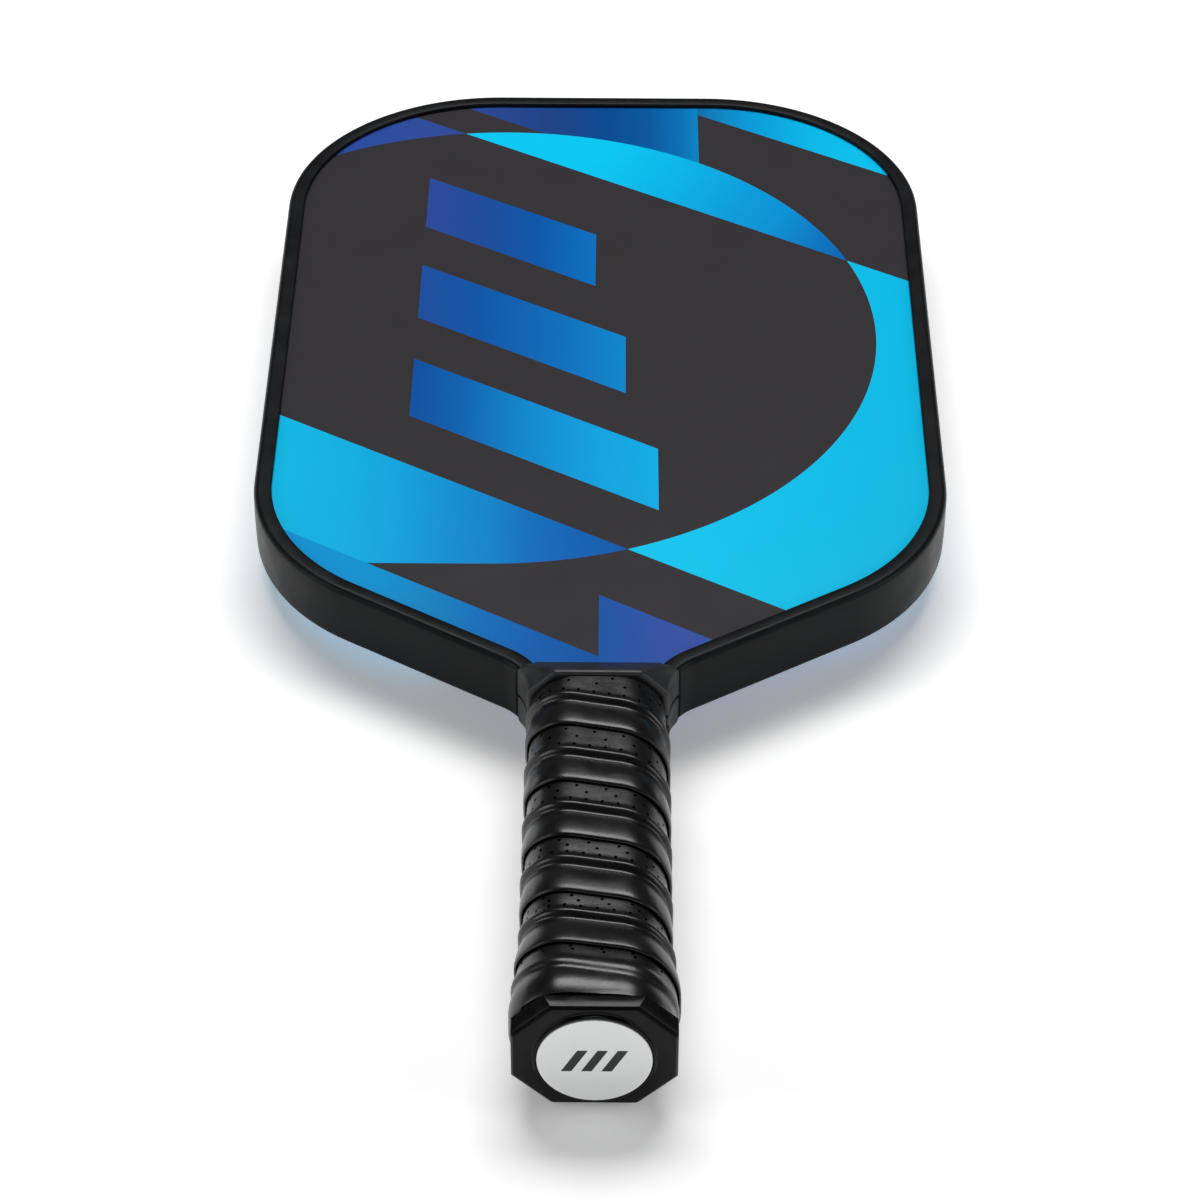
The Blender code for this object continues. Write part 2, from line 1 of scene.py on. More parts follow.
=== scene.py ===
# %% [markdown]
# A pickleball paddle, dressed for its portrait.
#
# The engineering model is already built and packed. It is loaded here as a fixed frame, and this lesson
# makes the surfaces that a buyer would see: the moulded edge guard, the printed face, the ribbed and
# perforated grip tape, the rubber throat covers, the butt cap and its foil label. The pieces inside keep
# their engineering shape and get honest materials, because the paddle may be shown taken apart.

# %% Load the frame
import math

import bmesh
import bpy
from mathutils import Matrix, Vector


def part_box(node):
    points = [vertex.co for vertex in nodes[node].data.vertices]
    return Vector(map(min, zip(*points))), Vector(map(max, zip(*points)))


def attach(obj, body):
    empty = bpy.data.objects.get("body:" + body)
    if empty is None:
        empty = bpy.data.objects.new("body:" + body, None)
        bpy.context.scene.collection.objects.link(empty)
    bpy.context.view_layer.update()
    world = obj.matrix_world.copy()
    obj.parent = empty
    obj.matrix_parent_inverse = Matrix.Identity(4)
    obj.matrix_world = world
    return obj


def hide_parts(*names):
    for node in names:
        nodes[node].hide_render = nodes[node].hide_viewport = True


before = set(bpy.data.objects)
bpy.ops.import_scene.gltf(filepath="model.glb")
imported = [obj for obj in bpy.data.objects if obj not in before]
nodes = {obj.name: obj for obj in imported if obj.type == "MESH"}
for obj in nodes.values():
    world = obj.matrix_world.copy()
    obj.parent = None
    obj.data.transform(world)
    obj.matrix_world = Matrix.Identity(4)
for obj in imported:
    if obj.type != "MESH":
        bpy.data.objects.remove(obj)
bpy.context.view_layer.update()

# %% [markdown]
# Everything is placed from a few numbers read off the frame: where the butt ends, where the head ends, the
# height of the plane through the middle of the paddle, and how far the guard and the face stand out from
# it. From here on, "up the paddle" is +Y, measured from the butt, and depth is Z, measured from that
# middle plane.

# %% Read the places that everything hangs on
MM = 0.001
guard_low, guard_high = (Vector(corner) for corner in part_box("edge_guard"))
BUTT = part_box("butt_label")[0][1]
MIDDLE = (guard_low.z + guard_high.z) / 2
LENGTH = guard_high.y - BUTT
GUARD_HALF_DEPTH = (guard_high.z - guard_low.z) / 2
FACE_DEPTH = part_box("front_graphic_film")[1][2] - MIDDLE
FILM_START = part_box("front_graphic_film")[0][1] - BUTT
print(f"length {LENGTH / MM:.1f} mm, middle plane at z = {MIDDLE / MM:.2f} mm")
print(f"face {FACE_DEPTH / MM:.2f} mm above the middle, film from {FILM_START / MM:.1f} mm up")

# %% [markdown]
# Colours are written as the hex values a designer would pick from a swatch. Blender works in linear
# light, so one function turns them over. One more adds a node to any tree: its settings, the values of
# its inputs, and what feeds them. Every material and every Geometry Nodes tree below uses it.

# %% Helpers for colour and nodes
def srgb(code):
    """Linear RGBA from a hex colour."""
    made = []
    for start in (1, 3, 5):
        value = int(code[start:start + 2], 16) / 255
        made.append(value / 12.92 if value <= 0.04045 else ((value + 0.055) / 1.055) ** 2.4)
    return (*made, 1.0)


def add_node(tree, kind, settings=None, values=None, links=None):
    """Add a node to a tree, with its settings, the values of its inputs and the sockets that feed it."""
    node = tree.nodes.new(kind)
    for name, value in (settings or {}).items():
        setattr(node, name, value)
    for key, value in (values or {}).items():
        node.inputs[key].default_value = value
    for key, source in (links or {}).items():
        tree.links.new(source, node.inputs[key])
    return node


def ramp(tree, pattern, stops):
    """The colour that a pattern picks from a ramp of (place, hex colour) pairs."""
    node = add_node(tree, "ShaderNodeValToRGB", None, None, {"Fac": pattern})
    band = node.color_ramp
    while len(band.elements) > 1:
        band.elements.remove(band.elements[-1])
    band.elements[0].position = stops[0][0]
    band.elements[0].color = srgb(stops[0][1])
    for place, code in stops[1:]:
        band.elements.new(place).color = srgb(code)
    return node.outputs["Color"]


def new_material(name, colour="#808080", roughness=0.5, metallic=0.0, ior=1.5):
    """A material with one Principled BSDF; its tree, shader and object coordinates are returned too."""
    made = bpy.data.materials.new(name)
    made.use_nodes = True
    tree = made.node_tree
    shader = tree.nodes["Principled BSDF"]
    shader.inputs["Base Color"].default_value = srgb(colour)
    shader.inputs["Roughness"].default_value = roughness
    shader.inputs["Metallic"].default_value = metallic
    if metallic < 1:
        shader.inputs["IOR"].default_value = ior
    place = add_node(tree, "ShaderNodeTexCoord").outputs["Object"]
    return made, tree, shader, place


def grain(tree, place, size, detail=2.0):
    """Noise whose blobs are about size across, in metres."""
    return add_node(
        tree, "ShaderNodeTexNoise", None, {"Scale": 1 / size, "Detail": detail}, {"Vector": place},
    ).outputs["Fac"]


def bump(tree, shader, height, depth, strength=1.0, over=None):
    """Raise the surface by a pattern; depth is the pattern's real height in metres."""
    feeds = {"Height": height}
    if over is not None:
        feeds["Normal"] = over
    made = add_node(tree, "ShaderNodeBump", None, {"Strength": strength, "Distance": depth}, feeds)
    tree.links.new(made.outputs["Normal"], shader.inputs["Normal"])
    return made.outputs["Normal"]


def vary(tree, shader, name, pattern, low, high):
    """Let a pattern move one of the shader's inputs between two values."""
    spread = add_node(
        tree, "ShaderNodeMapRange", None,
        {"From Min": 0.3, "From Max": 0.7, "To Min": low, "To Max": high}, {"Value": pattern},
    )
    tree.links.new(spread.outputs["Result"], shader.inputs[name])


# %% [markdown]
# Shapes are handed over as plain mesh objects that sit at the world's origin. These helpers build one
# from rows of points, finish it with modifiers and bake the result down, so nothing live is left.

# %% Helpers for meshes
def place_of(x, up, depth):
    """World position of a point given across, up the paddle from the butt, and out from its middle."""
    return Vector((x, BUTT + up, MIDDLE + depth))


def put(name, data):
    """An object for some data, linked to the scene at the world's origin."""
    made = bpy.data.objects.new(name, data)
    bpy.context.scene.collection.objects.link(made)
    return made


def new_piece(name, shape, materials, smooth_angle=40):
    """An object from a bmesh, turned outwards and shaded smooth except at sharp edges."""
    bmesh.ops.remove_doubles(shape, verts=shape.verts, dist=1e-7)
    bmesh.ops.recalc_face_normals(shape, faces=shape.faces)
    mesh = bpy.data.meshes.new(name)
    shape.to_mesh(mesh)
    shape.free()
    for finish in materials:
        mesh.materials.append(finish)
    mesh.shade_smooth()
    mesh.set_sharp_from_angle(angle=math.radians(smooth_angle))
    return put(name, mesh)


def grid_shape(rows, closed_rows=True, capped=True):
    """A bmesh skin over rows of points; a row of one point is a pole, where the skin closes."""
    shape = bmesh.new()
    loops = [[shape.verts.new(point) for point in row] for row in rows]
    for one, two in zip(loops, loops[1:]):
        longest = max(len(one), len(two))
        for index in range(longest if closed_rows else longest - 1):
            after = (index + 1) % longest
            corners = [one[index % len(one)], one[after % len(one)]]
            corners += [two[after % len(two)], two[index % len(two)]]
            unique = list(dict.fromkeys(corners))
            if len(unique) > 2:
                shape.faces.new(unique)
    if capped:
        for row in (loops[0], loops[-1]):
            if len(row) > 2:
                shape.faces.new(row)
    return shape


def bake_down(piece):
    """Apply every modifier and keep the result as a plain mesh."""
    depsgraph = bpy.context.evaluated_depsgraph_get()
    mesh = bpy.data.meshes.new_from_object(piece.evaluated_get(depsgraph))
    piece.modifiers.clear()
    old = piece.data
    piece.data = mesh
    mesh.name = piece.name
    if old.users == 0:
        bpy.data.meshes.remove(old)
    return piece


def carve(piece, *tools):
    """Cut closed tools out of a closed piece and throw the tools away."""
    for tool in tools:
        step = piece.modifiers.new("carve", "BOOLEAN")
        step.operation = "DIFFERENCE"
        step.solver = "MANIFOLD"
        step.object = tool
    bake_down(piece)
    for tool in tools:
        bpy.data.objects.remove(tool, do_unlink=True)
    return piece


def block(low, high):
    """A box-shaped cutting tool between two corners, given as place_of takes them."""
    shape = bmesh.new()
    bmesh.ops.create_cube(shape, size=1.0)
    low, high = place_of(*low), place_of(*high)
    bmesh.ops.scale(shape, vec=high - low, verts=shape.verts)
    bmesh.ops.translate(shape, vec=(low + high) / 2, verts=shape.verts)
    return new_piece("tool", shape, [])


# %% [markdown]
# ## The outline
#
# The head has four straight edges a side with arcs between them: neck, shoulder, side and top. Moving
# the edges inwards and changing the arcs by the same amount gives a parallel outline, and since every
# outline has the same number of points, two of them can be skinned together.

# %% Draw the outline at any inset
NECK_HALF_WIDTH = 17.9 * MM
SHOULDER_CROSSING = 115.0 * MM
SHOULDER_ANGLE = math.radians(32.2)
SIDE_CROSSING = 92.4 * MM
SIDE_LEAN = math.radians(0.7)
CORNER_RADII = (15 * MM, 59 * MM, 63.6 * MM)   # throat, shoulder and crown
OUTLINE_START = 100 * MM


def rounded(points, radii, steps, closed=False):
    """Round the corners of a polyline with arcs of that many steps."""
    made = []
    for index, point in enumerate(points):
        if not closed and index in (0, len(points) - 1):
            made.append(point.copy())
            continue
        arriving = (point - points[index - 1]).normalized()
        leaving = (points[(index + 1) % len(points)] - point).normalized()
        turn = arriving.angle_signed(leaving)
        start = point - arriving * radii[index] * math.tan(abs(turn) / 2)
        centre = start + Vector((arriving.y, -arriving.x)) * math.copysign(radii[index], turn)
        for step in range(steps + 1):
            made.append(centre + Matrix.Rotation(-turn * step / steps, 2) @ (start - centre))
    return made


def outline(inset, steps=40):
    """The head's outline moved inwards, from the right tail over the top to the left tail."""
    shoulder = Vector((math.cos(SHOULDER_ANGLE), math.sin(SHOULDER_ANGLE)))
    side = Vector((math.sin(SIDE_LEAN), math.cos(SIDE_LEAN)))
    edges = (
        (Vector((NECK_HALF_WIDTH, 0)), Vector((0, 1))),
        (Vector((0, SHOULDER_CROSSING)), shoulder),
        (Vector((SIDE_CROSSING, 0)), side),
        (Vector((0, LENGTH)), Vector((-1, 0))),
    )
    moved = [(point + Vector((-along.y, along.x)) * inset, along) for point, along in edges]
    corners = []
    for (point, along), (other, across) in zip(moved, moved[1:]):
        corners.append(point + along * ((other - point).cross(across) / along.cross(across)))
    points = [Vector((moved[0][0].x, OUTLINE_START)), *corners, Vector((0, LENGTH - inset))]
    throat, shoulder_arc, crown = CORNER_RADII
    radii = (0, throat + inset, shoulder_arc - inset, crown - inset, 0)
    right = rounded(points, radii, steps)[:-1]
    return right + [Vector((-point.x, point.y)) for point in reversed(right)]


print("outline points:", len(outline(0)))

# %% [markdown]
# ## The edge guard
#
# The real guard is extruded thermoplastic polyurethane, pressed round the rim: a soft black channel with
# two lips that hold the face. A profile swept along the outline is the natural way to make it. Here the
# sweep is done by skinning parallel outlines, one for each point of the profile, so that the corners
# stay true arcs at any distance from the rim.

# %% Sweep the guard's profile
WEB = 1.6 * MM
LIP_WIDTH = 4.9 * MM
EDGE_RADIUS = 1.7 * MM
TIP_RADIUS = 0.55 * MM
LIP_FOOT = FACE_DEPTH + 0.04 * MM
FOOT_SETBACK = 0.05 * MM
LIP_FALL = 0.18 * MM
MID_LIP = 0.62
MID_LIP_FALL = 0.04 * MM
WALL_CROWN = 0.12 * MM


def arc(centre, radius, start, end, steps):
    """Points of an arc in the profile's plane, as (inset, depth), angles in degrees."""
    made = []
    for step in range(steps + 1):
        turn = math.radians(start + (end - start) * step / steps)
        made.append((centre[0] + radius * math.cos(turn), centre[1] + radius * math.sin(turn)))
    return made


def guard_profile():
    """The front half of the channel, from the inside of the web round the lip to the outer wall."""
    top = GUARD_HALF_DEPTH
    half = [(WEB, LIP_FOOT), (LIP_WIDTH - FOOT_SETBACK, LIP_FOOT)]
    half += arc((LIP_WIDTH - TIP_RADIUS, top - LIP_FALL - TIP_RADIUS), TIP_RADIUS, -10, 80, 5)
    half += [(LIP_WIDTH * MID_LIP, top - MID_LIP_FALL)]
    half += arc((EDGE_RADIUS, top - EDGE_RADIUS), EDGE_RADIUS, 90, 180, 8)
    half += [(-WALL_CROWN * 0.6, top * 0.45), (-WALL_CROWN, 0)]
    return half


front_half = guard_profile()
profile = front_half + [(inset, -depth) for inset, depth in reversed(front_half[:-1])]
guard_rows = []
for inset, depth in profile + profile[:1]:
    guard_rows.append([place_of(point.x, point.y, depth) for point in outline(max(inset, -WALL_CROWN))])
guard_shape = grid_shape(guard_rows, closed_rows=False, capped=False)
bmesh.ops.remove_doubles(guard_shape, verts=guard_shape.verts, dist=1e-7)
open_ends = [edge for edge in guard_shape.edges if edge.is_boundary]
bmesh.ops.holes_fill(guard_shape, edges=open_ends, sides=0)
print("guard profile points:", len(profile), "faces:", len(guard_shape.faces))

# %% [markdown]
# Polyurethane straight from the extruder has a low satin sheen, and handling leaves it slightly uneven.
# A fine grain breaks up its highlights, and a broader one shifts the sheen and leaves some patches a
# little paler.

# %% Satin polyurethane
guard_finish, tree, shader, place = new_material("extruded_satin_polyurethane", "#0D0F11", 0.38, ior=1.20)
fine = grain(tree, place, 0.35 * MM, 3)
broad = grain(tree, place, 9 * MM, 4)
vary(tree, shader, "Roughness", broad, 0.32, 0.44)
tint = ramp(tree, broad, [(0.30, "#0C0E10"), (0.62, "#101214"), (0.75, "#141719")])
tree.links.new(tint, shader.inputs["Base Color"])
bump(tree, shader, fine, 0.02 * MM, 0.5)

# %% [markdown]
# The swept channel runs on past the throat. Its tails are cut off square where the collar's flanks begin,
# and its lips are cut away where the collar's foot lies between them.

# %% Trim the guard
TAIL_END = guard_low.y - BUTT
FOOT_HALF_WIDTH = 17.2 * MM
FOOT_CLEARANCE = 0.2 * MM
FOOT_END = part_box("throat_cover_front")[1][1] - BUTT + FOOT_CLEARANCE
WIDE = 300 * MM
tools = [block((-WIDE, -WIDE, -WIDE), (WIDE, TAIL_END, WIDE))]
for side in (1, -1):
    low, high = sorted((side * FACE_DEPTH, side * WIDE))
    tools.append(block((-FOOT_HALF_WIDTH, 0, low), (FOOT_HALF_WIDTH, FOOT_END, high)))
GUARD_SHARP = 50
guard = new_piece("edge_guard_moulding", guard_shape, [guard_finish], GUARD_SHARP)
carve(guard, *tools)
guard.data.shade_smooth()
guard.data.set_sharp_from_angle(angle=math.radians(GUARD_SHARP))
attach(guard, "root")
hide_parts("edge_guard")
print("guard triangles:", sum(len(face.vertices) - 2 for face in guard.data.polygons))

# %% [markdown]
# ## The printed face
#
# The face is a polymer film, printed on its underside and bonded over the laminate. The print is a
# charcoal field cut by parallel diagonals, a great circle, and facets of cyan, blue and navy ink that
# change colour where those lines cross. A shader can draw that exactly: each facet is a list of
# conditions on a few measures, and later facets are laid over earlier ones like screens of ink.
#
# The main measures are x across the face, y up the paddle, the diagonal measure d = y + x tan(31.5
# degrees), which is constant along each diagonal, and the distance r from the circle's centre. One more,
# fade, runs across and down the face at a lean, because one ink changes in that direction.

# %% Lay out the facets
FIELD = "#343235"
DIAGONAL = math.tan(math.radians(31.5))
FADE_LEAN = 0.45

# All the places in this cell are in millimetres.
FADE_LEVEL = 390
CIRCLE_CENTRE = (-30, 281.5)
CIRCLE = 110
BAR_STARTS = (205, 254, 303)
BAR_DEPTH = 28
BAR_LEFT = -54
BAR_ENDS = (16, 7, -2)

# Each facet: its name, its conditions as (measure, low, high), the measure along which its ink fades, and
# the ink's stops as (place, colour). None leaves a side open.
FACETS = [
    ("upper_band", [("d", 363.8, None), ("r", None, CIRCLE)], "fade",
     [(5, "#00C9F4"), (35, "#00B4E9"), (60, "#019EDE"), (76, "#0092D8"), (92, "#0178C2"), (110, "#005FB0")]),
    ("right_sweep", [("d", 182.7, 363.8), ("r", CIRCLE, None)], "x",
     [(20, "#02CDF8"), (60, "#00C4F0"), (92, "#00BDEA")]),
    ("left_sweep", [("d", None, 182.7), ("y", 171.5, None), ("x", None, -30)], "x",
     [(-90, "#01BEED"), (-70, "#01B5E8"), (-55, "#01A8E5"), (-40, "#0193D8"), (-30, "#0089D1")]),
    ("left_sweep_tip", [("d", None, 182.7), ("r", None, CIRCLE), ("x", -30, None)], "x",
     [(-30, "#0089D1"), (-20, "#0174C4"), (-8, "#0167BC"), (6, "#015DB2")]),
    ("shoulder_stripe", [("d", None, 133.5), ("x", None, 0)], "x",
     [(-60, "#0098DA"), (-45, "#0489CB"), (-30, "#0171C1"), (-15, "#0160B5"), (0, "#0056AC")]),
    ("throat_wedge", [("d", None, 158.6), ("x", 0, None)], "x",
     [(0, "#0958AD"), (8, "#2255AB"), (22, "#3754AA")]),
    ("top_strip", [("d", 379.5, None), ("r", CIRCLE, None), ("x", None, 30)], "x",
     [(-40, "#2A4793"), (-15, "#194286"), (0, "#004A90"), (14, "#0157A0"), (24, "#006FB3"), (30, "#0084C4")]),
    ("top_left_corner", [("d", None, 363.8), ("r", CIRCLE, None), ("x", None, -30), ("y", 300, None)], "x",
     [(-70, "#2C4C9F"), (-45, "#314A97")]),
    ("top_right_corner", [("d", 421.4, None), ("x", 30, None)], "x",
     [(30, "#0A6DAA"), (45, "#0098D6"), (55, "#00A8E1"), (65, "#01B8E7"), (80, "#03C2EF")]),
]
BAR_INKS = (
    [(-52, "#0153A4"), (-40, "#0063B4"), (-20, "#018DD4"), (0, "#01A8E8"), (16, "#01B2EC")],
    [(-52, "#1A4FA2"), (-36, "#0257AA"), (-12, "#0170C0"), (8, "#018BD2")],
    [(-52, "#2A4A9C"), (-36, "#174B9D"), (-20, "#0058AB"), (-2, "#0171C3")],
)
for number, (start, end, ink) in enumerate(zip(BAR_STARTS, BAR_ENDS, BAR_INKS)):
    FACETS.append((f"bar_{number}", [("d", start, start + BAR_DEPTH), ("x", BAR_LEFT, end)], "x", ink))
print("facets:", len(FACETS))


# %% [markdown]
# The back carries the same print turned left to right, so that it reads the same from behind. The film
# itself is a fine-textured satin: sprayed grit gives the ball its bite, and it shows as a soft sparkle
# rather than a gloss. The real grit is about 0.1 mm, and it is drawn at 0.3 mm so that it shows.

# %% Printed film
def printed_film(name, side):
    """The film's material; side is 1 for the front, and -1 mirrors the print for the back."""
    made, tree, shader, place = new_material(name, FIELD, 0.30, ior=1.20)
    moved = add_node(
        tree, "ShaderNodeMapping", None,
        {"Location": (0, -BUTT, 0), "Scale": (side, 1, 1)}, {"Vector": place},
    ).outputs["Vector"]
    apart = add_node(tree, "ShaderNodeSeparateXYZ", None, None, {"Vector": moved})
    flat = add_node(
        tree, "ShaderNodeCombineXYZ", None, None, {0: apart.outputs["X"], 1: apart.outputs["Y"]},
    ).outputs[0]
    centre = (CIRCLE_CENTRE[0] * MM, CIRCLE_CENTRE[1] * MM, 0)
    measures = {"x": apart.outputs["X"], "y": apart.outputs["Y"]}
    for measure, operation, partner in (
        ("d", "DOT_PRODUCT", (DIAGONAL, 1, 0)),
        ("r", "DISTANCE", centre),
        ("leaning", "DOT_PRODUCT", (1, -FADE_LEAN, 0)),
    ):
        measures[measure] = add_node(
            tree, "ShaderNodeVectorMath", {"operation": operation}, {1: partner}, {0: flat},
        ).outputs["Value"]
    measures["fade"] = add_node(
        tree, "ShaderNodeMath", {"operation": "ADD"},
        {1: FADE_LEAN * FADE_LEVEL * MM}, {0: measures["leaning"]},
    ).outputs[0]
    mottle = grain(tree, place, 22 * MM, 3)
    ink = ramp(tree, mottle, [(0.3, FIELD), (0.7, "#363437")])
    for _, conditions, fades_along, stops in FACETS:
        mask = None
        for measure, low, high in conditions:
            for limit, operation in ((low, "GREATER_THAN"), (high, "LESS_THAN")):
                if limit is None:
                    continue
                test = add_node(
                    tree, "ShaderNodeMath", {"operation": operation}, {1: limit * MM}, {0: measures[measure]},
                ).outputs[0]
                mask = test if mask is None else add_node(
                    tree, "ShaderNodeMath", {"operation": "MULTIPLY"}, None, {0: mask, 1: test},
                ).outputs[0]
        first, last = stops[0][0], stops[-1][0]
        along = add_node(
            tree, "ShaderNodeMapRange", None, {"From Min": first * MM, "From Max": last * MM},
            {"Value": measures[fades_along]},
        ).outputs["Result"]
        shade = ramp(tree, along, [((stop - first) / (last - first), code) for stop, code in stops])
        ink = add_node(
            tree, "ShaderNodeMix", {"data_type": "RGBA"}, None, {"Factor": mask, "A": ink, "B": shade},
        ).outputs["Result"]
    tree.links.new(ink, shader.inputs["Base Color"])
    grit = grain(tree, place, 0.3 * MM, 2)
    vary(tree, shader, "Roughness", mottle, 0.29, 0.31)
    bump(tree, shader, grit, 0.012 * MM, 0.35)
    return made


# %% Bond the films
def dress(node, finish):
    """Give a node of the frame its material."""
    nodes[node].data.materials.clear()
    nodes[node].data.materials.append(finish)


dress("front_graphic_film", printed_film("printed_film_front", 1))
dress("back_graphic_film", printed_film("printed_film_back", -1))
print("nodes in the film's material:", len(nodes["front_graphic_film"].data.materials[0].node_tree.nodes))

# %% [markdown]
# ## The handle's section
#
# Under the grip the handle is an octagon. An offset of it is each point moved along its own outward
# direction, so a point and a direction at each station describe every layer wound on it. The tape's inside
# follows the hard corners, but padding rounds them off, so its outside follows a much softer octagon. The
# butt end flares, and the flare lifts whatever lies over it.

# %% Walk round the handle
HALF_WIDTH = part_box("handle_shell_front")[1][0]
HALF_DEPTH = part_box("handle_shell_front")[1][2] - MIDDLE
CHAMFER = 5.6 * MM
HARD_RADIUS = 1.5 * MM
WOUND_RADIUS = 9.5 * MM
WOUND_CHAMFER = 6.0 * MM
CORNER_STEPS = 6
FLARE = 1.85 * MM
FLARE_FROM = 14 * MM
FLARE_TO = 37 * MM
GRIP_BUTT = 6.1 * MM
ROLL = 1.1 * MM
ROLL_FROM = 14 * MM


def octagon(wide, deep, chamfer, radius, flat_steps=4):
    """Points round an eight-sided section and their outward directions, clockwise from the front's middle."""
    flat, edge = wide - chamfer, deep - chamfer
    corners = [Vector(corner) for corner in (
        (flat, deep), (wide, edge), (wide, -edge), (flat, -deep),
        (-flat, -deep), (-wide, -edge), (-wide, edge), (-flat, deep),
    )]
    arcs = rounded(corners, [radius] * 8, CORNER_STEPS, closed=True)
    size = CORNER_STEPS + 1
    ring = []
    for number in range(8):
        before, first = arcs[number * size - 1], arcs[number * size]
        for step in range(1, flat_steps):
            ring.append((before.lerp(first, step / flat_steps), math.radians(45 * number)))
        for step in range(size):
            ring.append((arcs[number * size + step], math.radians(45 * (number + step / CORNER_STEPS))))
    ring = [(point, Vector((math.sin(angle), math.cos(angle)))) for point, angle in ring]
    middle = flat_steps // 2 - 1
    return ring[middle:] + ring[:middle]


def flare(up):
    """How far the butt's flare lifts a layer, easing in over the last stretch of the handle."""
    share = min(1.0, max(0.0, (FLARE_TO - up) / (FLARE_TO - FLARE_FROM)))
    return FLARE * share * share * (3 - 2 * share)


def on_handle(station, up, distance, ring=None):
    """World position over the handle, at a station round it and a distance from its flared surface."""
    point, outward = (ring or RING)[station % len(RING)]
    point = point + outward * (distance + flare(up))
    return place_of(point.x, up, point.y)


def roll_over(up):
    """How far the tape's outside sinks where it rolls over towards the cap."""
    return ROLL * min(1.0, max(0.0, (ROLL_FROM - up) / (ROLL_FROM - GRIP_BUTT))) ** 2


RING = octagon(HALF_WIDTH, HALF_DEPTH, WOUND_CHAMFER, WOUND_RADIUS)
INNER_RING = octagon(HALF_WIDTH, HALF_DEPTH, CHAMFER, HARD_RADIUS)
MID_TAPE = 1.5 * MM
middle_line = [point + outward * MID_TAPE for point, outward in RING]
STEPS_ROUND = [(after - point).length for point, after in zip(middle_line, middle_line[1:] + middle_line[:1])]
GIRTH = sum(STEPS_ROUND)
print("stations round the handle:", len(RING), "girth:", round(GIRTH / MM, 1), "mm")

# %% [markdown]
# ## The grip tape
#
# The tape is one strip, wound from the throat to the butt. Each turn laps over the top edge of the one
# below, and the turns crowd together towards the butt. The strip has a pillowed smooth band along its
# lower edge, then a groove, then the rib that a cord underneath raises, then a flat band with air holes.
#
# At the middle of the front its height starts by falling 20.9 mm a turn, and each turn falls a little
# less than the one above. Lofting the strip's section along that line gives the whole winding.

# %% Wind the tape
FIRST_LINE = 98.0 * MM
FIRST_PITCH = 20.9 * MM
TIGHTENING = 0.43 * MM
FIRST_TURN = -0.72
LAST_TURN = 5.75
RIB_UP = 11.2 * MM
RIB_FADE = 12 * MM
FAINTEST_RIB = 0.25


def lower_edge(turn):
    """Height of the strip's lower edge after so many turns from the middle of the front."""
    return FIRST_LINE - FIRST_PITCH * turn + TIGHTENING * turn * turn


def helix():
    """Stations down the winding: (station round the handle, turns wound, height, local pitch)."""
    station, walked = 0, 0.0
    while walked / GIRTH > FIRST_TURN:
        station -= 1
        walked -= STEPS_ROUND[station % len(RING)]
    made = []
    while walked / GIRTH < LAST_TURN:
        turn = walked / GIRTH
        made.append((station, turn, lower_edge(turn), lower_edge(turn - 1) - lower_edge(turn)))
        walked += STEPS_ROUND[station % len(RING)]
        station += 1
    return made


def smooth_line(knots, steps):
    """A Catmull-Rom line through knots, with that many steps between neighbours."""
    knots = [Vector(knot) for knot in knots]
    knots = [knots[0] * 2 - knots[1]] + knots + [knots[-1] * 2 - knots[-2]]
    made = []
    for index in range(1, len(knots) - 2):
        before, one, two, after = knots[index - 1:index + 3]
        for step in range(steps):
            t = step / steps
            made.append(0.5 * (
                2 * one + (two - before) * t + (2 * before - 5 * one + 4 * two - after) * t * t
                + (3 * one - before - 3 * two + after) * t * t * t
            ))
    return made + [knots[-2]]


def strip_section(pitch, rib):
    """The strip's section in millimetres, as (height over its lower edge, distance from the handle).

    It comes in four runs: the outside, the lap that goes under the next turn, the inside on the handle,
    and the tuck that lies on the turn below.
    """
    outside = smooth_line([
        (0.05, 2.30), (0.30, 2.62), (0.9, 2.80), (2.2, 2.86), (4.2, 2.76), (6.2, 2.48), (7.8, 2.12),
        (8.9, 1.82 + 0.1 * (1 - rib)), (9.7, 1.95), (10.4, 1.95 + 0.62 * rib), (11.2, 1.95 + 1.0 * rib),
        (12.0, 1.95 + 0.84 * rib), (12.8, 1.93 + 0.36 * rib), (13.5, 1.90),
        (15.5, 1.86), (pitch - 1.0, 1.83), (pitch + 0.3, 1.74),
    ], 3)
    lap = [(pitch + 0.9, 1.55), (pitch + 3.9, 1.20)]
    inside = [
        (pitch + 3.9, 0.35), (15.8, 0.35), (12.4, 0.35), (12.0, 1.25), (10.4, 1.25), (10.0, 0.35),
        (5.4, 0.35),
    ]
    tuck = [(4.4, 1.5), (0.3, 1.98)]
    return [tuple(knot) for knot in outside], lap, inside, tuck


tape_rows = []
for station, turn, height, pitch in helix():
    rib = min(1.0, max(FAINTEST_RIB, (height + RIB_UP - RIB_FADE) / RIB_FADE))
    outside, lap, inside, tuck = strip_section(pitch / MM, rib)
    row = []
    for up, out in outside:
        row.append(on_handle(station, height + up * MM, out * MM - roll_over(height + up * MM)))
    for up, out in lap:
        row.append(on_handle(station, height + up * MM, out * MM))
    for up, out in inside:
        row.append(on_handle(station, height + up * MM, out * MM, INNER_RING))
    for up, out in tuck:
        row.append(on_handle(station, height + up * MM, out * MM))
    tape_rows.append(row)
tape_shape = grid_shape(tape_rows)
print("tape stations:", len(tape_rows), "points in its section:", len(row))

# %% [markdown]
# The winding is trimmed where it meets its neighbours: nearly square at the butt, and square at the
# throat, where the collar closes over it.

# %% Trim the tape
GRIP_TOP = 117.9 * MM
BUTT_SLANT = 2.0
ROOM = 60 * MM
GRIP_SHARP = 50
PUNCHED_SHARP = 42


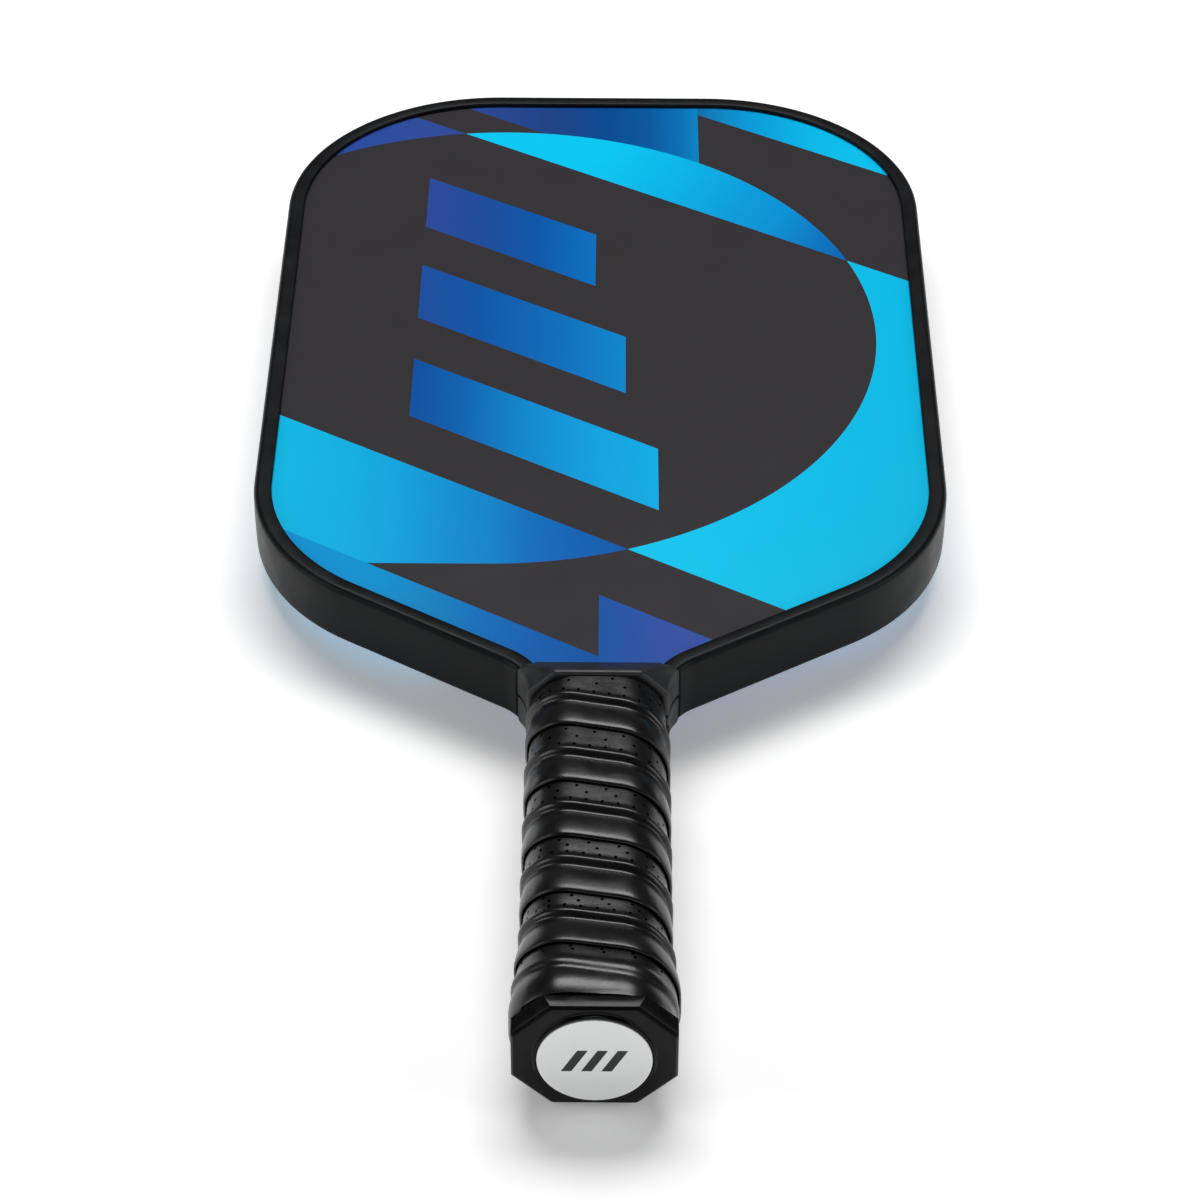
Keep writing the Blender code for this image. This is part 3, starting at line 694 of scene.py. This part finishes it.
def slanted_block(up, slant):
    """A cutting tool: everything below a cut across the handle, slanted by some degrees."""
    shape = bmesh.new()
    bmesh.ops.create_cube(shape, size=2 * ROOM)
    turned = Matrix.Rotation(-math.radians(slant), 4, "Z") @ Matrix.Translation((0, -ROOM, 0))
    bmesh.ops.transform(shape, matrix=Matrix.Translation(place_of(0, up, 0)) @ turned, verts=shape.verts)
    return new_piece("tool", shape, [])


grip_finish, grip_tree, grip_shader, grip_place = new_material(
    "tacky_polyurethane_tape", "#0D0D0E", 0.28, ior=1.45,
)
grip = new_piece("ribbed_grip_tape", tape_shape, [grip_finish], GRIP_SHARP)
carve(
    grip,
    block((-ROOM, GRIP_TOP, -ROOM), (ROOM, GRIP_TOP + 2 * ROOM, ROOM)),
    slanted_block(GRIP_BUTT, BUTT_SLANT),
)
lowest = min(vertex.co.z for vertex in grip.data.vertices)
print("trimmed tape faces:", len(grip.data.polygons), "lowest point:", round(lowest / MM, 2), "mm")

# %% [markdown]
# The air holes are punched in rows that run along the strip. Geometry Nodes does this well: guide lines
# are resampled at the punch's spacing, the tape's own surface tells each hole which way to face, and one
# Boolean cuts them all. Two staggered rows of round holes run along the flat band, and one closer row
# lies in the crease between that band and the rib.

# %% Rows of air holes
WIDE_SPACING = 7.2 * MM
CLOSE_SPACING = 3.9 * MM
CLOSE_ROW = 13.9 * MM
WIDE_LOWEST = 17 * MM
CLOSE_LOWEST = 27 * MM
TOP_MARGIN = 0.4 * MM


def guide_lines(name, rows, lowest, spacing):
    """A curve object with a line for each row, given as (height on the strip, distance, shift).

    The shift says how far along the winding a row's holes are moved, so that two rows can be staggered.
    """
    curve = bpy.data.curves.new(name, "CURVE")
    curve.dimensions = "3D"
    for height_of, out, shift in rows:
        places = []
        for station, turn, height, pitch in helix():
            up = height + height_of(pitch)
            if lowest < up < GRIP_TOP - TOP_MARGIN:
                if not places:
                    shift = (shift - turn * GIRTH) % spacing
                places.append(on_handle(station, up, out))
        while shift > (places[1] - places[0]).length:
            shift -= (places[1] - places[0]).length
            places.pop(0)
        places[0] = places[0].lerp(places[1], shift / (places[1] - places[0]).length)
        line = curve.splines.new("POLY")
        line.points.add(len(places) - 1)
        for knot, place in zip(line.points, places):
            knot.co = (*place, 1)
    return put(name, curve)


def give_input(modifier, name, value):
    """Set a Geometry Nodes modifier's input, found by the name of its socket."""
    for item in modifier.node_group.interface.items_tree:
        if item.item_type == "SOCKET" and item.in_out == "INPUT" and item.name == name:
            modifier[item.identifier] = value


def new_geometry_tree(name, inputs):
    """A Geometry Nodes tree with named inputs, given as (name, socket type, value)."""
    tree = bpy.data.node_groups.new(name, "GeometryNodeTree")
    tree.interface.new_socket("Geometry", in_out="INPUT", socket_type="NodeSocketGeometry")
    tree.interface.new_socket("Geometry", in_out="OUTPUT", socket_type="NodeSocketGeometry")
    for label, kind, value in inputs:
        made = tree.interface.new_socket(label, in_out="INPUT", socket_type=kind)
        if value is not None:
            made.default_value = value
    return tree, add_node(tree, "NodeGroupInput").outputs, add_node(tree, "NodeGroupOutput").inputs


# %% Build the punch
punch, given, result = new_geometry_tree("Punch Air Holes", [
    ("Wide Rows", "NodeSocketObject", None),
    ("Close Rows", "NodeSocketObject", None),
    ("Wide Spacing", "NodeSocketFloat", WIDE_SPACING),
    ("Close Spacing", "NodeSocketFloat", CLOSE_SPACING),
    ("Hole Radius", "NodeSocketFloat", 0.45 * MM),
    ("Hole Depth", "NodeSocketFloat", 0.7 * MM),
    ("Material", "NodeSocketMaterial", None),
])
points = add_node(punch, "GeometryNodeJoinGeometry")
for rows, spacing in (("Wide Rows", "Wide Spacing"), ("Close Rows", "Close Spacing")):
    guide = add_node(punch, "GeometryNodeObjectInfo", None, None, {"Object": given[rows]})
    row = add_node(
        punch, "GeometryNodeResampleCurve", {"mode": "LENGTH"}, None,
        {"Curve": guide.outputs["Geometry"], "Length": given[spacing]},
    )
    punch.links.new(row.outputs["Curve"], points.inputs["Geometry"])
normal = add_node(punch, "GeometryNodeInputNormal")
facing = add_node(
    punch, "GeometryNodeSampleNearestSurface", {"data_type": "FLOAT_VECTOR"}, None,
    {"Mesh": given["Geometry"], "Value": normal.outputs["Normal"]},
)
turn_to = add_node(
    punch, "FunctionNodeAlignRotationToVector", {"axis": "Z"}, None, {"Vector": facing.outputs["Value"]},
)
pin = add_node(
    punch, "GeometryNodeMeshCylinder", None, {"Vertices": 10, "Side Segments": 1},
    {"Radius": given["Hole Radius"]},
)
pin_depth = add_node(punch, "ShaderNodeMath", {"operation": "MULTIPLY"}, {1: 2.0}, {0: given["Hole Depth"]})
punch.links.new(pin_depth.outputs[0], pin.inputs["Depth"])
pins = add_node(
    punch, "GeometryNodeInstanceOnPoints", None, None,
    {
        "Points": points.outputs["Geometry"], "Instance": pin.outputs["Mesh"],
        "Rotation": turn_to.outputs["Rotation"],
    },
)
loose_pins = add_node(
    punch, "GeometryNodeRealizeInstances", None, None, {"Geometry": pins.outputs["Instances"]},
)
holes = add_node(
    punch, "GeometryNodeMeshBoolean", {"operation": "DIFFERENCE", "solver": "MANIFOLD"}, None,
    {"Mesh 1": given["Geometry"], "Mesh 2": loose_pins.outputs["Geometry"]},
)
whole = add_node(punch, "GeometryNodeRealizeInstances", None, None, {"Geometry": holes.outputs["Mesh"]})
finished = add_node(
    punch, "GeometryNodeSetMaterial", None, None,
    {"Geometry": whole.outputs["Geometry"], "Material": given["Material"]},
)
punch.links.new(finished.outputs["Geometry"], result["Geometry"])

# %% Punch the tape
wide_rows = guide_lines("wide_rows", [
    (lambda pitch: CLOSE_ROW + 0.43 * (pitch - CLOSE_ROW), 1.84 * MM, 0),
    (lambda pitch: CLOSE_ROW + 0.79 * (pitch - CLOSE_ROW), 1.83 * MM, WIDE_SPACING / 2),
], WIDE_LOWEST, WIDE_SPACING)
close_rows = guide_lines("close_rows", [
    (lambda pitch: CLOSE_ROW, 1.89 * MM, 0),
], CLOSE_LOWEST, CLOSE_SPACING)
punching = grip.modifiers.new("air_holes", "NODES")
punching.node_group = punch
give_input(punching, "Wide Rows", wide_rows)
give_input(punching, "Close Rows", close_rows)
give_input(punching, "Material", grip_finish)
before = len(grip.data.polygons)
bake_down(grip)
for guide in (wide_rows, close_rows):
    bpy.data.objects.remove(guide, do_unlink=True)
grip.data.shade_smooth()
grip.data.set_sharp_from_angle(angle=math.radians(PUNCHED_SHARP))
print("tape faces before and after the punch:", before, len(grip.data.polygons))

# %% [markdown]
# Grip tape is a polyurethane skin on a felt backing. New, it is tacky, dark and fairly glossy, with a fine
# leather-like pore that shows only where light grazes it. The pore is about 0.1 mm, and it is drawn at
# 0.45 mm so that it shows. Pulled tight, the skin also wrinkles faintly along the strip, which a noise
# squeezed along the handle gives.

# %% Tacky polyurethane
pores = grain(grip_tree, grip_place, 0.45 * MM, 3)
wander = grain(grip_tree, grip_place, 6 * MM, 3)
vary(grip_tree, grip_shader, "Roughness", wander, 0.23, 0.33)
shade = ramp(grip_tree, wander, [(0.3, "#0B0B0C"), (0.7, "#101011")])
grip_tree.links.new(shade, grip_shader.inputs["Base Color"])
squeezed = add_node(
    grip_tree, "ShaderNodeMapping", None, {"Scale": (0.35, 1.6, 0.35)}, {"Vector": grip_place},
).outputs["Vector"]
creases = grain(grip_tree, squeezed, 3 * MM)
coarse = bump(grip_tree, grip_shader, creases, 0.12 * MM, 0.25)
bump(grip_tree, grip_shader, pores, 0.03 * MM, 0.5, coarse)
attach(grip, "root")
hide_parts("grip_tape")

# %% [markdown]
# Under the rib lies the cord that raises it: a round foam filament laid along the same winding. A curve
# swept with a circle is the whole of it, and Geometry Nodes does the sweep. The foam is grey and matt,
# with cells a quarter of a millimetre across.

# %% Rib cord
CORD_RADIUS = 0.62 * MM
CORD_BED = 0.35 * MM
CORD_LOWEST = 8.5 * MM
CORD_HIGHEST = 109 * MM
WELD = 0.001 * MM
foam_cord_finish, tree, shader, place = new_material("extruded_foam_cord", "#4B4D4F", 0.9)
cells = grain(tree, place, 0.25 * MM, 2)
vary(tree, shader, "Roughness", cells, 0.82, 0.96)
bump(tree, shader, cells, 0.04 * MM, 0.7)

sweep, given, result = new_geometry_tree("Sweep Cord", [
    ("Path", "NodeSocketObject", None),
    ("Radius", "NodeSocketFloat", CORD_RADIUS),
    ("Material", "NodeSocketMaterial", None),
])
path = add_node(sweep, "GeometryNodeObjectInfo", None, None, {"Object": given["Path"]})
ring = add_node(
    sweep, "GeometryNodeCurvePrimitiveCircle", None, {"Resolution": 12}, {"Radius": given["Radius"]},
)
tube = add_node(
    sweep, "GeometryNodeCurveToMesh", None, {"Fill Caps": True},
    {"Curve": path.outputs["Geometry"], "Profile Curve": ring.outputs["Curve"]},
)
welded = add_node(
    sweep, "GeometryNodeMergeByDistance", None, {"Distance": WELD}, {"Geometry": tube.outputs["Mesh"]},
)
whole = add_node(sweep, "GeometryNodeRealizeInstances", None, None, {"Geometry": welded.outputs["Geometry"]})
finished = add_node(
    sweep, "GeometryNodeSetMaterial", None, None,
    {"Geometry": whole.outputs["Geometry"], "Material": given["Material"]},
)
sweep.links.new(finished.outputs["Geometry"], result["Geometry"])

# %% Lay the cord
cord_path = bpy.data.curves.new("cord_path", "CURVE")
cord_path.dimensions = "3D"
places = []
for station, turn, height, pitch in helix():
    up = height + RIB_UP
    if CORD_LOWEST < up < CORD_HIGHEST:
        places.append(on_handle(station, up, CORD_BED + CORD_RADIUS))
line = cord_path.splines.new("POLY")
line.points.add(len(places) - 1)
for knot, spot in zip(line.points, places):
    knot.co = (*spot, 1)
cord_guide = put("cord_path", cord_path)
cord = put("grip_rib_foam_cord", bpy.data.meshes.new("grip_rib_foam_cord"))
sweeping = cord.modifiers.new("sweep", "NODES")
sweeping.node_group = sweep
give_input(sweeping, "Path", cord_guide)
give_input(sweeping, "Material", foam_cord_finish)
bake_down(cord)
bpy.data.objects.remove(cord_guide, do_unlink=True)
cord.data.shade_smooth()
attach(cord, "root")
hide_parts("grip_rib_cord")
print("cord faces:", len(cord.data.polygons))

# %% [markdown]
# ## The throat covers
#
# A rubber collar, moulded in a front and a back half, hides the slope between the handle and the faces.
# Its engineering solids have the right shape but knife edges, and a moulding has none. A fine voxel
# remesh followed by some smoothing melts the edges by a few tenths of a millimetre and leaves the flats
# alone. Soft-touch rubber is matt, because its skin scatters the light.

# %% Soften the covers
cover_finish, tree, shader, place = new_material("moulded_soft_touch_rubber", "#16181B", 0.42, ior=1.48)
fine = grain(tree, place, 0.3 * MM, 2)
broad = grain(tree, place, 5 * MM, 3)
vary(tree, shader, "Roughness", broad, 0.40, 0.52)
shade = ramp(tree, broad, [(0.3, "#141619"), (0.7, "#191B1F")])
tree.links.new(shade, shader.inputs["Base Color"])
bump(tree, shader, fine, 0.02 * MM, 0.5)

VOXEL = 0.45 * MM
for side in ("front", "back"):
    shape = bmesh.new()
    shape.from_mesh(nodes[f"throat_cover_{side}"].data)
    cover = new_piece(f"throat_saddle_{side}", shape, [], 180)
    voxels = cover.modifiers.new("voxels", "REMESH")
    voxels.mode = "VOXEL"
    voxels.voxel_size = VOXEL
    voxels.use_smooth_shade = True
    soften = cover.modifiers.new("soften", "SMOOTH")
    soften.factor = 0.5
    soften.iterations = 24
    bake_down(cover)
    cover.data.materials.clear()
    cover.data.materials.append(cover_finish)
    cover.data.shade_smooth()
    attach(cover, "root")
    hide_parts(f"throat_cover_{side}")
    print(cover.name, "faces:", len(cover.data.polygons))

# %% [markdown]
# ## The butt cap
#
# The cap is a hard moulding: an eight-sided cup whose flange shows below the grip, with a crisp bevel and
# a round boss that holds the label. Its slanted facets have some draft, so they fill the end of the grip.
# Rings of the handle's section and circles with the same number of points are skinned from the bottom of
# the pocket, over the skirt and the flange, to the label's seat. Nylon straight from a polished mould is
# glossy, and its slight waviness shows as a wandering sheen.

# %% Mould the cap
CAP_FACE = 1.2 * MM
CAP_TOP = 5.4 * MM
CAP_OFFSET = 3.7 * MM
CAP_CHAMFER = 9.3 * MM
CAP_CORNER = 0.7 * MM
CAP_DRAFT = 0.45
CAP_BEVEL = 0.5 * MM
CAP_FLOOR = 4.2 * MM
SKIRT_END = 28 * MM
BOSS_RADIUS = 14.0 * MM
LABEL_RADIUS = 13.2 * MM
SEAT_FLOOR = 0.8 * MM
SEAT_GAP = 0.3 * MM
SEAT_LIP = 0.20 * MM
POCKET_GAP = 0.3 * MM
FEATHERED_EDGE = 0.02 * MM
SKIRT_STEPS = 12
BOSS_FOOT = 0.7 * MM
BOSS_FILLET = 0.5 * MM
BOSS_ROUND = 0.25 * MM
SOFT = 0.15 * MM
FLAT_STEPS = 10
HARD_RING = octagon(HALF_WIDTH, HALF_DEPTH, CHAMFER, HARD_RADIUS, FLAT_STEPS)


def section_at(up, distance):
    """A ring of the handle's section, not lifted by the flare."""
    moved = [point + outward * distance for point, outward in HARD_RING]
    return [place_of(point.x, up, point.y) for point in moved]


def flange_at(up, offset):
    """A ring of the flange, whose corners are cut deeper than the handle's."""
    chamfer = CAP_CHAMFER - (CAP_OFFSET - offset) * (2 - math.sqrt(2)) - CAP_DRAFT * (up - CAP_FACE)
    ring = octagon(HALF_WIDTH + offset, HALF_DEPTH + offset, chamfer, CAP_CORNER, FLAT_STEPS)
    return [place_of(point.x, up, point.y) for point, _ in ring]


def circle_at(up, radius):
    """A circle round the handle's axis, its points in the same directions as the section's."""
    made = []
    for point, _ in HARD_RING:
        angle = math.atan2(point.x, point.y)
        made.append(place_of(radius * math.sin(angle), up, radius * math.cos(angle)))
    return made


def arc_rings(centre_up, centre_out, radius, start, end, steps, ring_at):
    """Rings that follow an arc in the plane of height and distance."""
    made = []
    for step in range(steps + 1):
        turn = math.radians(start + (end - start) * step / steps)
        made.append(ring_at(centre_up + radius * math.sin(turn), centre_out + radius * math.cos(turn)))
    return made


cap_rows = [[place_of(0, CAP_FLOOR, 0)], section_at(CAP_FLOOR, POCKET_GAP), section_at(SKIRT_END, POCKET_GAP)]
for step in range(SKIRT_STEPS + 1):
    up = SKIRT_END + (CAP_TOP - SKIRT_END) * step / SKIRT_STEPS
    cap_rows.append(section_at(up, max(POCKET_GAP + FEATHERED_EDGE, flare(up))))
cap_rows += arc_rings(CAP_TOP - SOFT, CAP_OFFSET - SOFT, SOFT, 90, 0, 3, flange_at)
cap_rows += arc_rings(CAP_FACE + CAP_BEVEL + 2 * SOFT, CAP_OFFSET - SOFT, SOFT, 0, -45, 2, flange_at)
cap_rows += arc_rings(CAP_FACE + SOFT, CAP_OFFSET - CAP_BEVEL - SOFT, SOFT, -45, -90, 2, flange_at)
cap_rows.append(circle_at(CAP_FACE, BOSS_RADIUS + BOSS_FOOT))
cap_rows += arc_rings(
    CAP_FACE - BOSS_FILLET, BOSS_RADIUS + BOSS_FILLET, -BOSS_FILLET, -90, 0, 4, circle_at,
)
cap_rows += arc_rings(SEAT_LIP + BOSS_ROUND, BOSS_RADIUS - BOSS_ROUND, BOSS_ROUND, 0, -90, 3, circle_at)
cap_rows += [circle_at(up, LABEL_RADIUS + SEAT_GAP) for up in (SEAT_LIP, SEAT_FLOOR)]
cap_rows.append([place_of(0, SEAT_FLOOR, 0)])
cap_shape = grid_shape(cap_rows, capped=False)

cap_finish, tree, shader, place = new_material("gloss_moulded_nylon", "#090A0B", 0.20, ior=1.24)
fine = grain(tree, place, 0.5 * MM, 3)
broad = grain(tree, place, 4 * MM, 3)
vary(tree, shader, "Roughness", broad, 0.16, 0.26)
shade = ramp(tree, broad, [(0.3, "#08090A"), (0.7, "#0B0C0E")])
tree.links.new(shade, shader.inputs["Base Color"])
bump(tree, shader, fine, 0.008 * MM, 0.5)

# %% [markdown]
# Two tacks hold the cap to the shells, through holes in the skirt's sides. A bar across each side cuts
# the hole.

# %% Drill for the tacks
TACK_UP = (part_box("butt_cap_tack_right")[0][1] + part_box("butt_cap_tack_right")[1][1]) / 2 - BUTT
TACK_HOLE = 2.7 * MM
BAR_LENGTH = 10 * MM
CAP_SHARP = 30


def bar_across(low, high, up, radius):
    """A round cutting tool along x."""
    shape = bmesh.new()
    across = Matrix.Translation(place_of((low + high) / 2, up, 0)) @ Matrix.Rotation(math.radians(90), 4, "Y")
    bmesh.ops.create_cone(
        shape, cap_ends=True, segments=32, radius1=radius, radius2=radius, depth=high - low, matrix=across,
    )
    return new_piece("tool", shape, [])


cap = new_piece("butt_cap_moulding", cap_shape, [cap_finish], CAP_SHARP)
seat = HALF_WIDTH + POCKET_GAP
carve(
    cap,
    bar_across(seat, seat + BAR_LENGTH, TACK_UP, TACK_HOLE),
    bar_across(-seat - BAR_LENGTH, -seat, TACK_UP, TACK_HOLE),
)
cap.data.shade_smooth()
cap.data.set_sharp_from_angle(angle=math.radians(CAP_SHARP))
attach(cap, "root")
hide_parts("butt_cap")
print("cap faces:", len(cap.data.polygons))

# %% [markdown]
# The label is a disc of silvered polyester foil with a slight roll to its edge. Its brushing is finer than
# a tenth of a millimetre, and it is drawn at 0.6 mm so that it shows. It carries no name here, only three
# slanted bars: a measure that folds back and forth makes evenly spaced stripes, and two limits trim them.

# %% Foil label
FOIL = "#F1F3F3"
FOIL_INK = "#1E2222"
LABEL_DEPTH = 0.5 * MM
FACE_MARGIN = 0.25 * MM
STRIPE_LEAN = 0.55
STRIPE_FOLD = 2.3 * MM
STRIPE_HALF_WIDTH = 1.2 * MM
STRIPES_REACH = 6.0 * MM
STRIPE_HALF_HEIGHT = 3.4 * MM
label_rows = [[place_of(0, 0.0, 0)], circle_at(0.0, LABEL_RADIUS - FACE_MARGIN)]
label_rows += arc_rings(SOFT, LABEL_RADIUS - SOFT, SOFT, -80, 0, 3, circle_at)
label_rows += [circle_at(LABEL_DEPTH, LABEL_RADIUS), [place_of(0, LABEL_DEPTH, 0)]]
label_shape = grid_shape(label_rows, capped=False)

label_finish, tree, shader, place = new_material("brushed_silver_foil", FOIL, 0.34, 0.15)
flat = add_node(tree, "ShaderNodeSeparateXYZ", None, None, {"Vector": place})
level = add_node(tree, "ShaderNodeMath", {"operation": "SUBTRACT"}, {1: MIDDLE}, {0: flat.outputs["Z"]})
on_disc = add_node(tree, "ShaderNodeCombineXYZ", None, None, {0: flat.outputs["X"], 1: level.outputs[0]})
drawn_out = add_node(
    tree, "ShaderNodeMapping", None, {"Scale": (0.05, 1, 1)}, {"Vector": on_disc.outputs[0]},
).outputs["Vector"]
brushed = grain(tree, drawn_out, 0.6 * MM)
vary(tree, shader, "Roughness", brushed, 0.28, 0.40)
bump(tree, shader, brushed, 0.01 * MM, 0.3)

# %% Print the label
lean = add_node(
    tree, "ShaderNodeVectorMath", {"operation": "DOT_PRODUCT"}, {1: (1, -STRIPE_LEAN, 0)},
    {0: on_disc.outputs[0]},
).outputs["Value"]
stripes = add_node(tree, "ShaderNodeMath", {"operation": "PINGPONG"}, {1: STRIPE_FOLD}, {0: lean})
mask = None
for measure, limit in (
    (stripes.outputs[0], STRIPE_HALF_WIDTH), (lean, STRIPES_REACH), (level.outputs[0], STRIPE_HALF_HEIGHT),
):
    size = add_node(tree, "ShaderNodeMath", {"operation": "ABSOLUTE"}, None, {0: measure})
    test = add_node(
        tree, "ShaderNodeMath", {"operation": "LESS_THAN"}, {1: limit}, {0: size.outputs[0]},
    ).outputs[0]
    mask = test if mask is None else add_node(
        tree, "ShaderNodeMath", {"operation": "MULTIPLY"}, None, {0: mask, 1: test},
    ).outputs[0]
ink = add_node(
    tree, "ShaderNodeMix", {"data_type": "RGBA"}, {"A": srgb(FOIL), "B": srgb(FOIL_INK)}, {"Factor": mask},
)
tree.links.new(ink.outputs["Result"], shader.inputs["Base Color"])
label = new_piece("butt_foil_label", label_shape, [label_finish], 35)
print("label faces:", len(label.data.polygons))
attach(label, "root")
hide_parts("butt_label")

# %% [markdown]
# ## The pieces inside
#
# These keep their engineering meshes. They show only when the paddle is taken apart or cut open, so each
# gets the finish of the real thing: milky polypropylene honeycomb that lets a little light in, glass
# laminate whose woven threads cross, yellowish acrylic adhesive with fine bubbles, tan moulded foam with a
# skin of small cells, and zinc-plated steel with fine scratches.

# %% Honeycomb and laminate
core_finish, tree, shader, place = new_material("extruded_polypropylene", "#DCDDD6", 0.5, ior=1.49)
shader.inputs["Subsurface Weight"].default_value = 0.15
shader.inputs["Subsurface Radius"].default_value = (0.002, 0.002, 0.002)
streaks = grain(tree, place, 1.2 * MM, 3)
vary(tree, shader, "Roughness", streaks, 0.42, 0.58)
bump(tree, shader, streaks, 0.03 * MM, 0.5)
dress("honeycomb_core", core_finish)

THREAD = 1.6 * MM
skin_finish, tree, shader, place = new_material("woven_glass_laminate", "#3A3C3E", 0.38, ior=1.54)
weave = {}
for axis, thread in (("X", "A"), ("Y", "B")):
    weave[thread] = add_node(
        tree, "ShaderNodeTexWave",
        {"wave_type": "BANDS", "bands_direction": axis, "wave_profile": "SIN"},
        {"Scale": 1 / (math.pi * THREAD), "Distortion": 0.4, "Detail": 1.0}, {"Vector": place},
    ).outputs["Fac"]
crossed = add_node(
    tree, "ShaderNodeMix", {"data_type": "FLOAT"}, {"Factor": 0.5}, weave,
).outputs["Result"]
shade = ramp(tree, crossed, [(0.2, "#2C2E30"), (0.8, "#4A4D50")])
tree.links.new(shade, shader.inputs["Base Color"])
bump(tree, shader, crossed, 0.05 * MM, 0.6)
dress("front_skin", skin_finish)
dress("back_skin", skin_finish)

# %% Adhesive, foam and steel
tape_finish, tree, shader, place = new_material("clear_acrylic_adhesive", "#D8D3B8", 0.35, ior=1.47)
bubbles = grain(tree, place, 0.6 * MM, 2)
vary(tree, shader, "Roughness", bubbles, 0.28, 0.45)
bump(tree, shader, bubbles, 0.02 * MM, 0.4)
for node in ("guard_bonding_tape", "shell_bonding_tape_front", "shell_bonding_tape_back"):
    dress(node, tape_finish)

foam_finish, tree, shader, place = new_material("moulded_polyurethane_foam", "#C9B98C", 0.85)
skin_cells = add_node(
    tree, "ShaderNodeTexVoronoi", None, {"Scale": 1 / (0.5 * MM)}, {"Vector": place},
)
mottle = grain(tree, place, 7 * MM, 3)
shade = ramp(tree, mottle, [(0.3, "#BFAE80"), (0.7, "#D2C39A")])
tree.links.new(shade, shader.inputs["Base Color"])
bump(tree, shader, skin_cells.outputs["Distance"], 0.05 * MM, 0.6)
dress("handle_shell_front", foam_finish)
dress("handle_shell_back", foam_finish)

steel_finish, tree, shader, place = new_material("zinc_plated_steel", "#B9BCBD", 0.3, 1.0)
scratches = grain(tree, place, 0.2 * MM, 4)
vary(tree, shader, "Roughness", scratches, 0.22, 0.40)
bump(tree, shader, scratches, 0.005 * MM, 0.5)
dress("butt_cap_tack_right", steel_finish)
dress("butt_cap_tack_left", steel_finish)
print("materials made:", len(bpy.data.materials))

# %% [markdown]
# ## The portrait
#
# A portrait of a dark object is mostly a portrait of its lights. One very large soft box behind and above
# puts the long highlights on the grip and the far lip, two weaker ones fill the sides, and a low one in
# front lights the cap and its label. The floor is white paper that gives off a little light of its own, so
# that it stays white where the boxes fall off. The camera looks down the handle at about 39 degrees with
# a moderately long lens.

# %% Floor
FLOOR_REACH = 3.0
floor_shape = bmesh.new()
bmesh.ops.create_grid(floor_shape, x_segments=1, y_segments=1, size=FLOOR_REACH)
floor_finish, tree, shader, place = new_material("matt_paper_sweep", "#FFFFFF", 0.9)
shader.inputs["Emission Color"].default_value = srgb("#FFFFFF")
shader.inputs["Emission Strength"].default_value = 0.22
fibres = grain(tree, place, 1.5 * MM, 2)
bump(tree, shader, fibres, 0.02 * MM, 0.2)
floor = new_piece("paper_floor", floor_shape, [floor_finish])


# %% Lights
def soft_light(name, place, target, width, height, power):
    """A rectangular soft box that faces its target; sizes in metres, power in watts."""
    made = put(name, bpy.data.lights.new(name, "AREA"))
    made.data.shape = "RECTANGLE"
    made.data.size = width
    made.data.size_y = height
    made.data.energy = power
    made.location = place
    made.rotation_euler = (Vector(target) - Vector(place)).to_track_quat("-Z", "Y").to_euler()


soft_light("top_box", (0, 0.75, 1.45), (0, 0, 0), 1.4, 0.6, 24)
soft_light("left_box", (-1.5, -0.3, 0.6), (0, -0.1, 0), 0.5, 0.9, 5)
soft_light("right_box", (1.5, -0.3, 0.6), (0, -0.1, 0), 0.5, 0.9, 5)
soft_light("front_box", (0, -2.0, 0.45), (0, -0.2, 0), 1.2, 0.5, 6)

world = bpy.data.worlds.new("studio")
bpy.context.scene.world = world
world.use_nodes = True
air = world.node_tree.nodes["Background"]
air.inputs["Color"].default_value = srgb("#F2F4F6")
air.inputs["Strength"].default_value = 0.06
bpy.context.scene.view_settings.view_transform = "Standard"

# %% Camera
CAMERA_PLACE = place_of(2.74 * MM, -507.91 * MM, 549.45 * MM)
camera = put("camera", bpy.data.cameras.new("camera"))
camera.data.sensor_width = 36
camera.data.lens = 98.0
camera.data.clip_start = 0.01
pitch, yaw, roll = (math.radians(angle) for angle in (39.215, -0.214, 0.222))
ahead = Vector((math.sin(yaw) * math.cos(pitch), math.cos(yaw) * math.cos(pitch), -math.sin(pitch)))
level_right = Vector((math.cos(yaw), -math.sin(yaw), 0))
level_up = level_right.cross(ahead)
right = level_right * math.cos(roll) + level_up * math.sin(roll)
above = level_up * math.cos(roll) - level_right * math.sin(roll)
facing = Matrix((right, above, -ahead)).transposed().to_4x4()
camera.matrix_world = Matrix.Translation(CAMERA_PLACE) @ facing
bpy.context.scene.camera = camera
print("camera at", [round(value, 3) for value in CAMERA_PLACE])
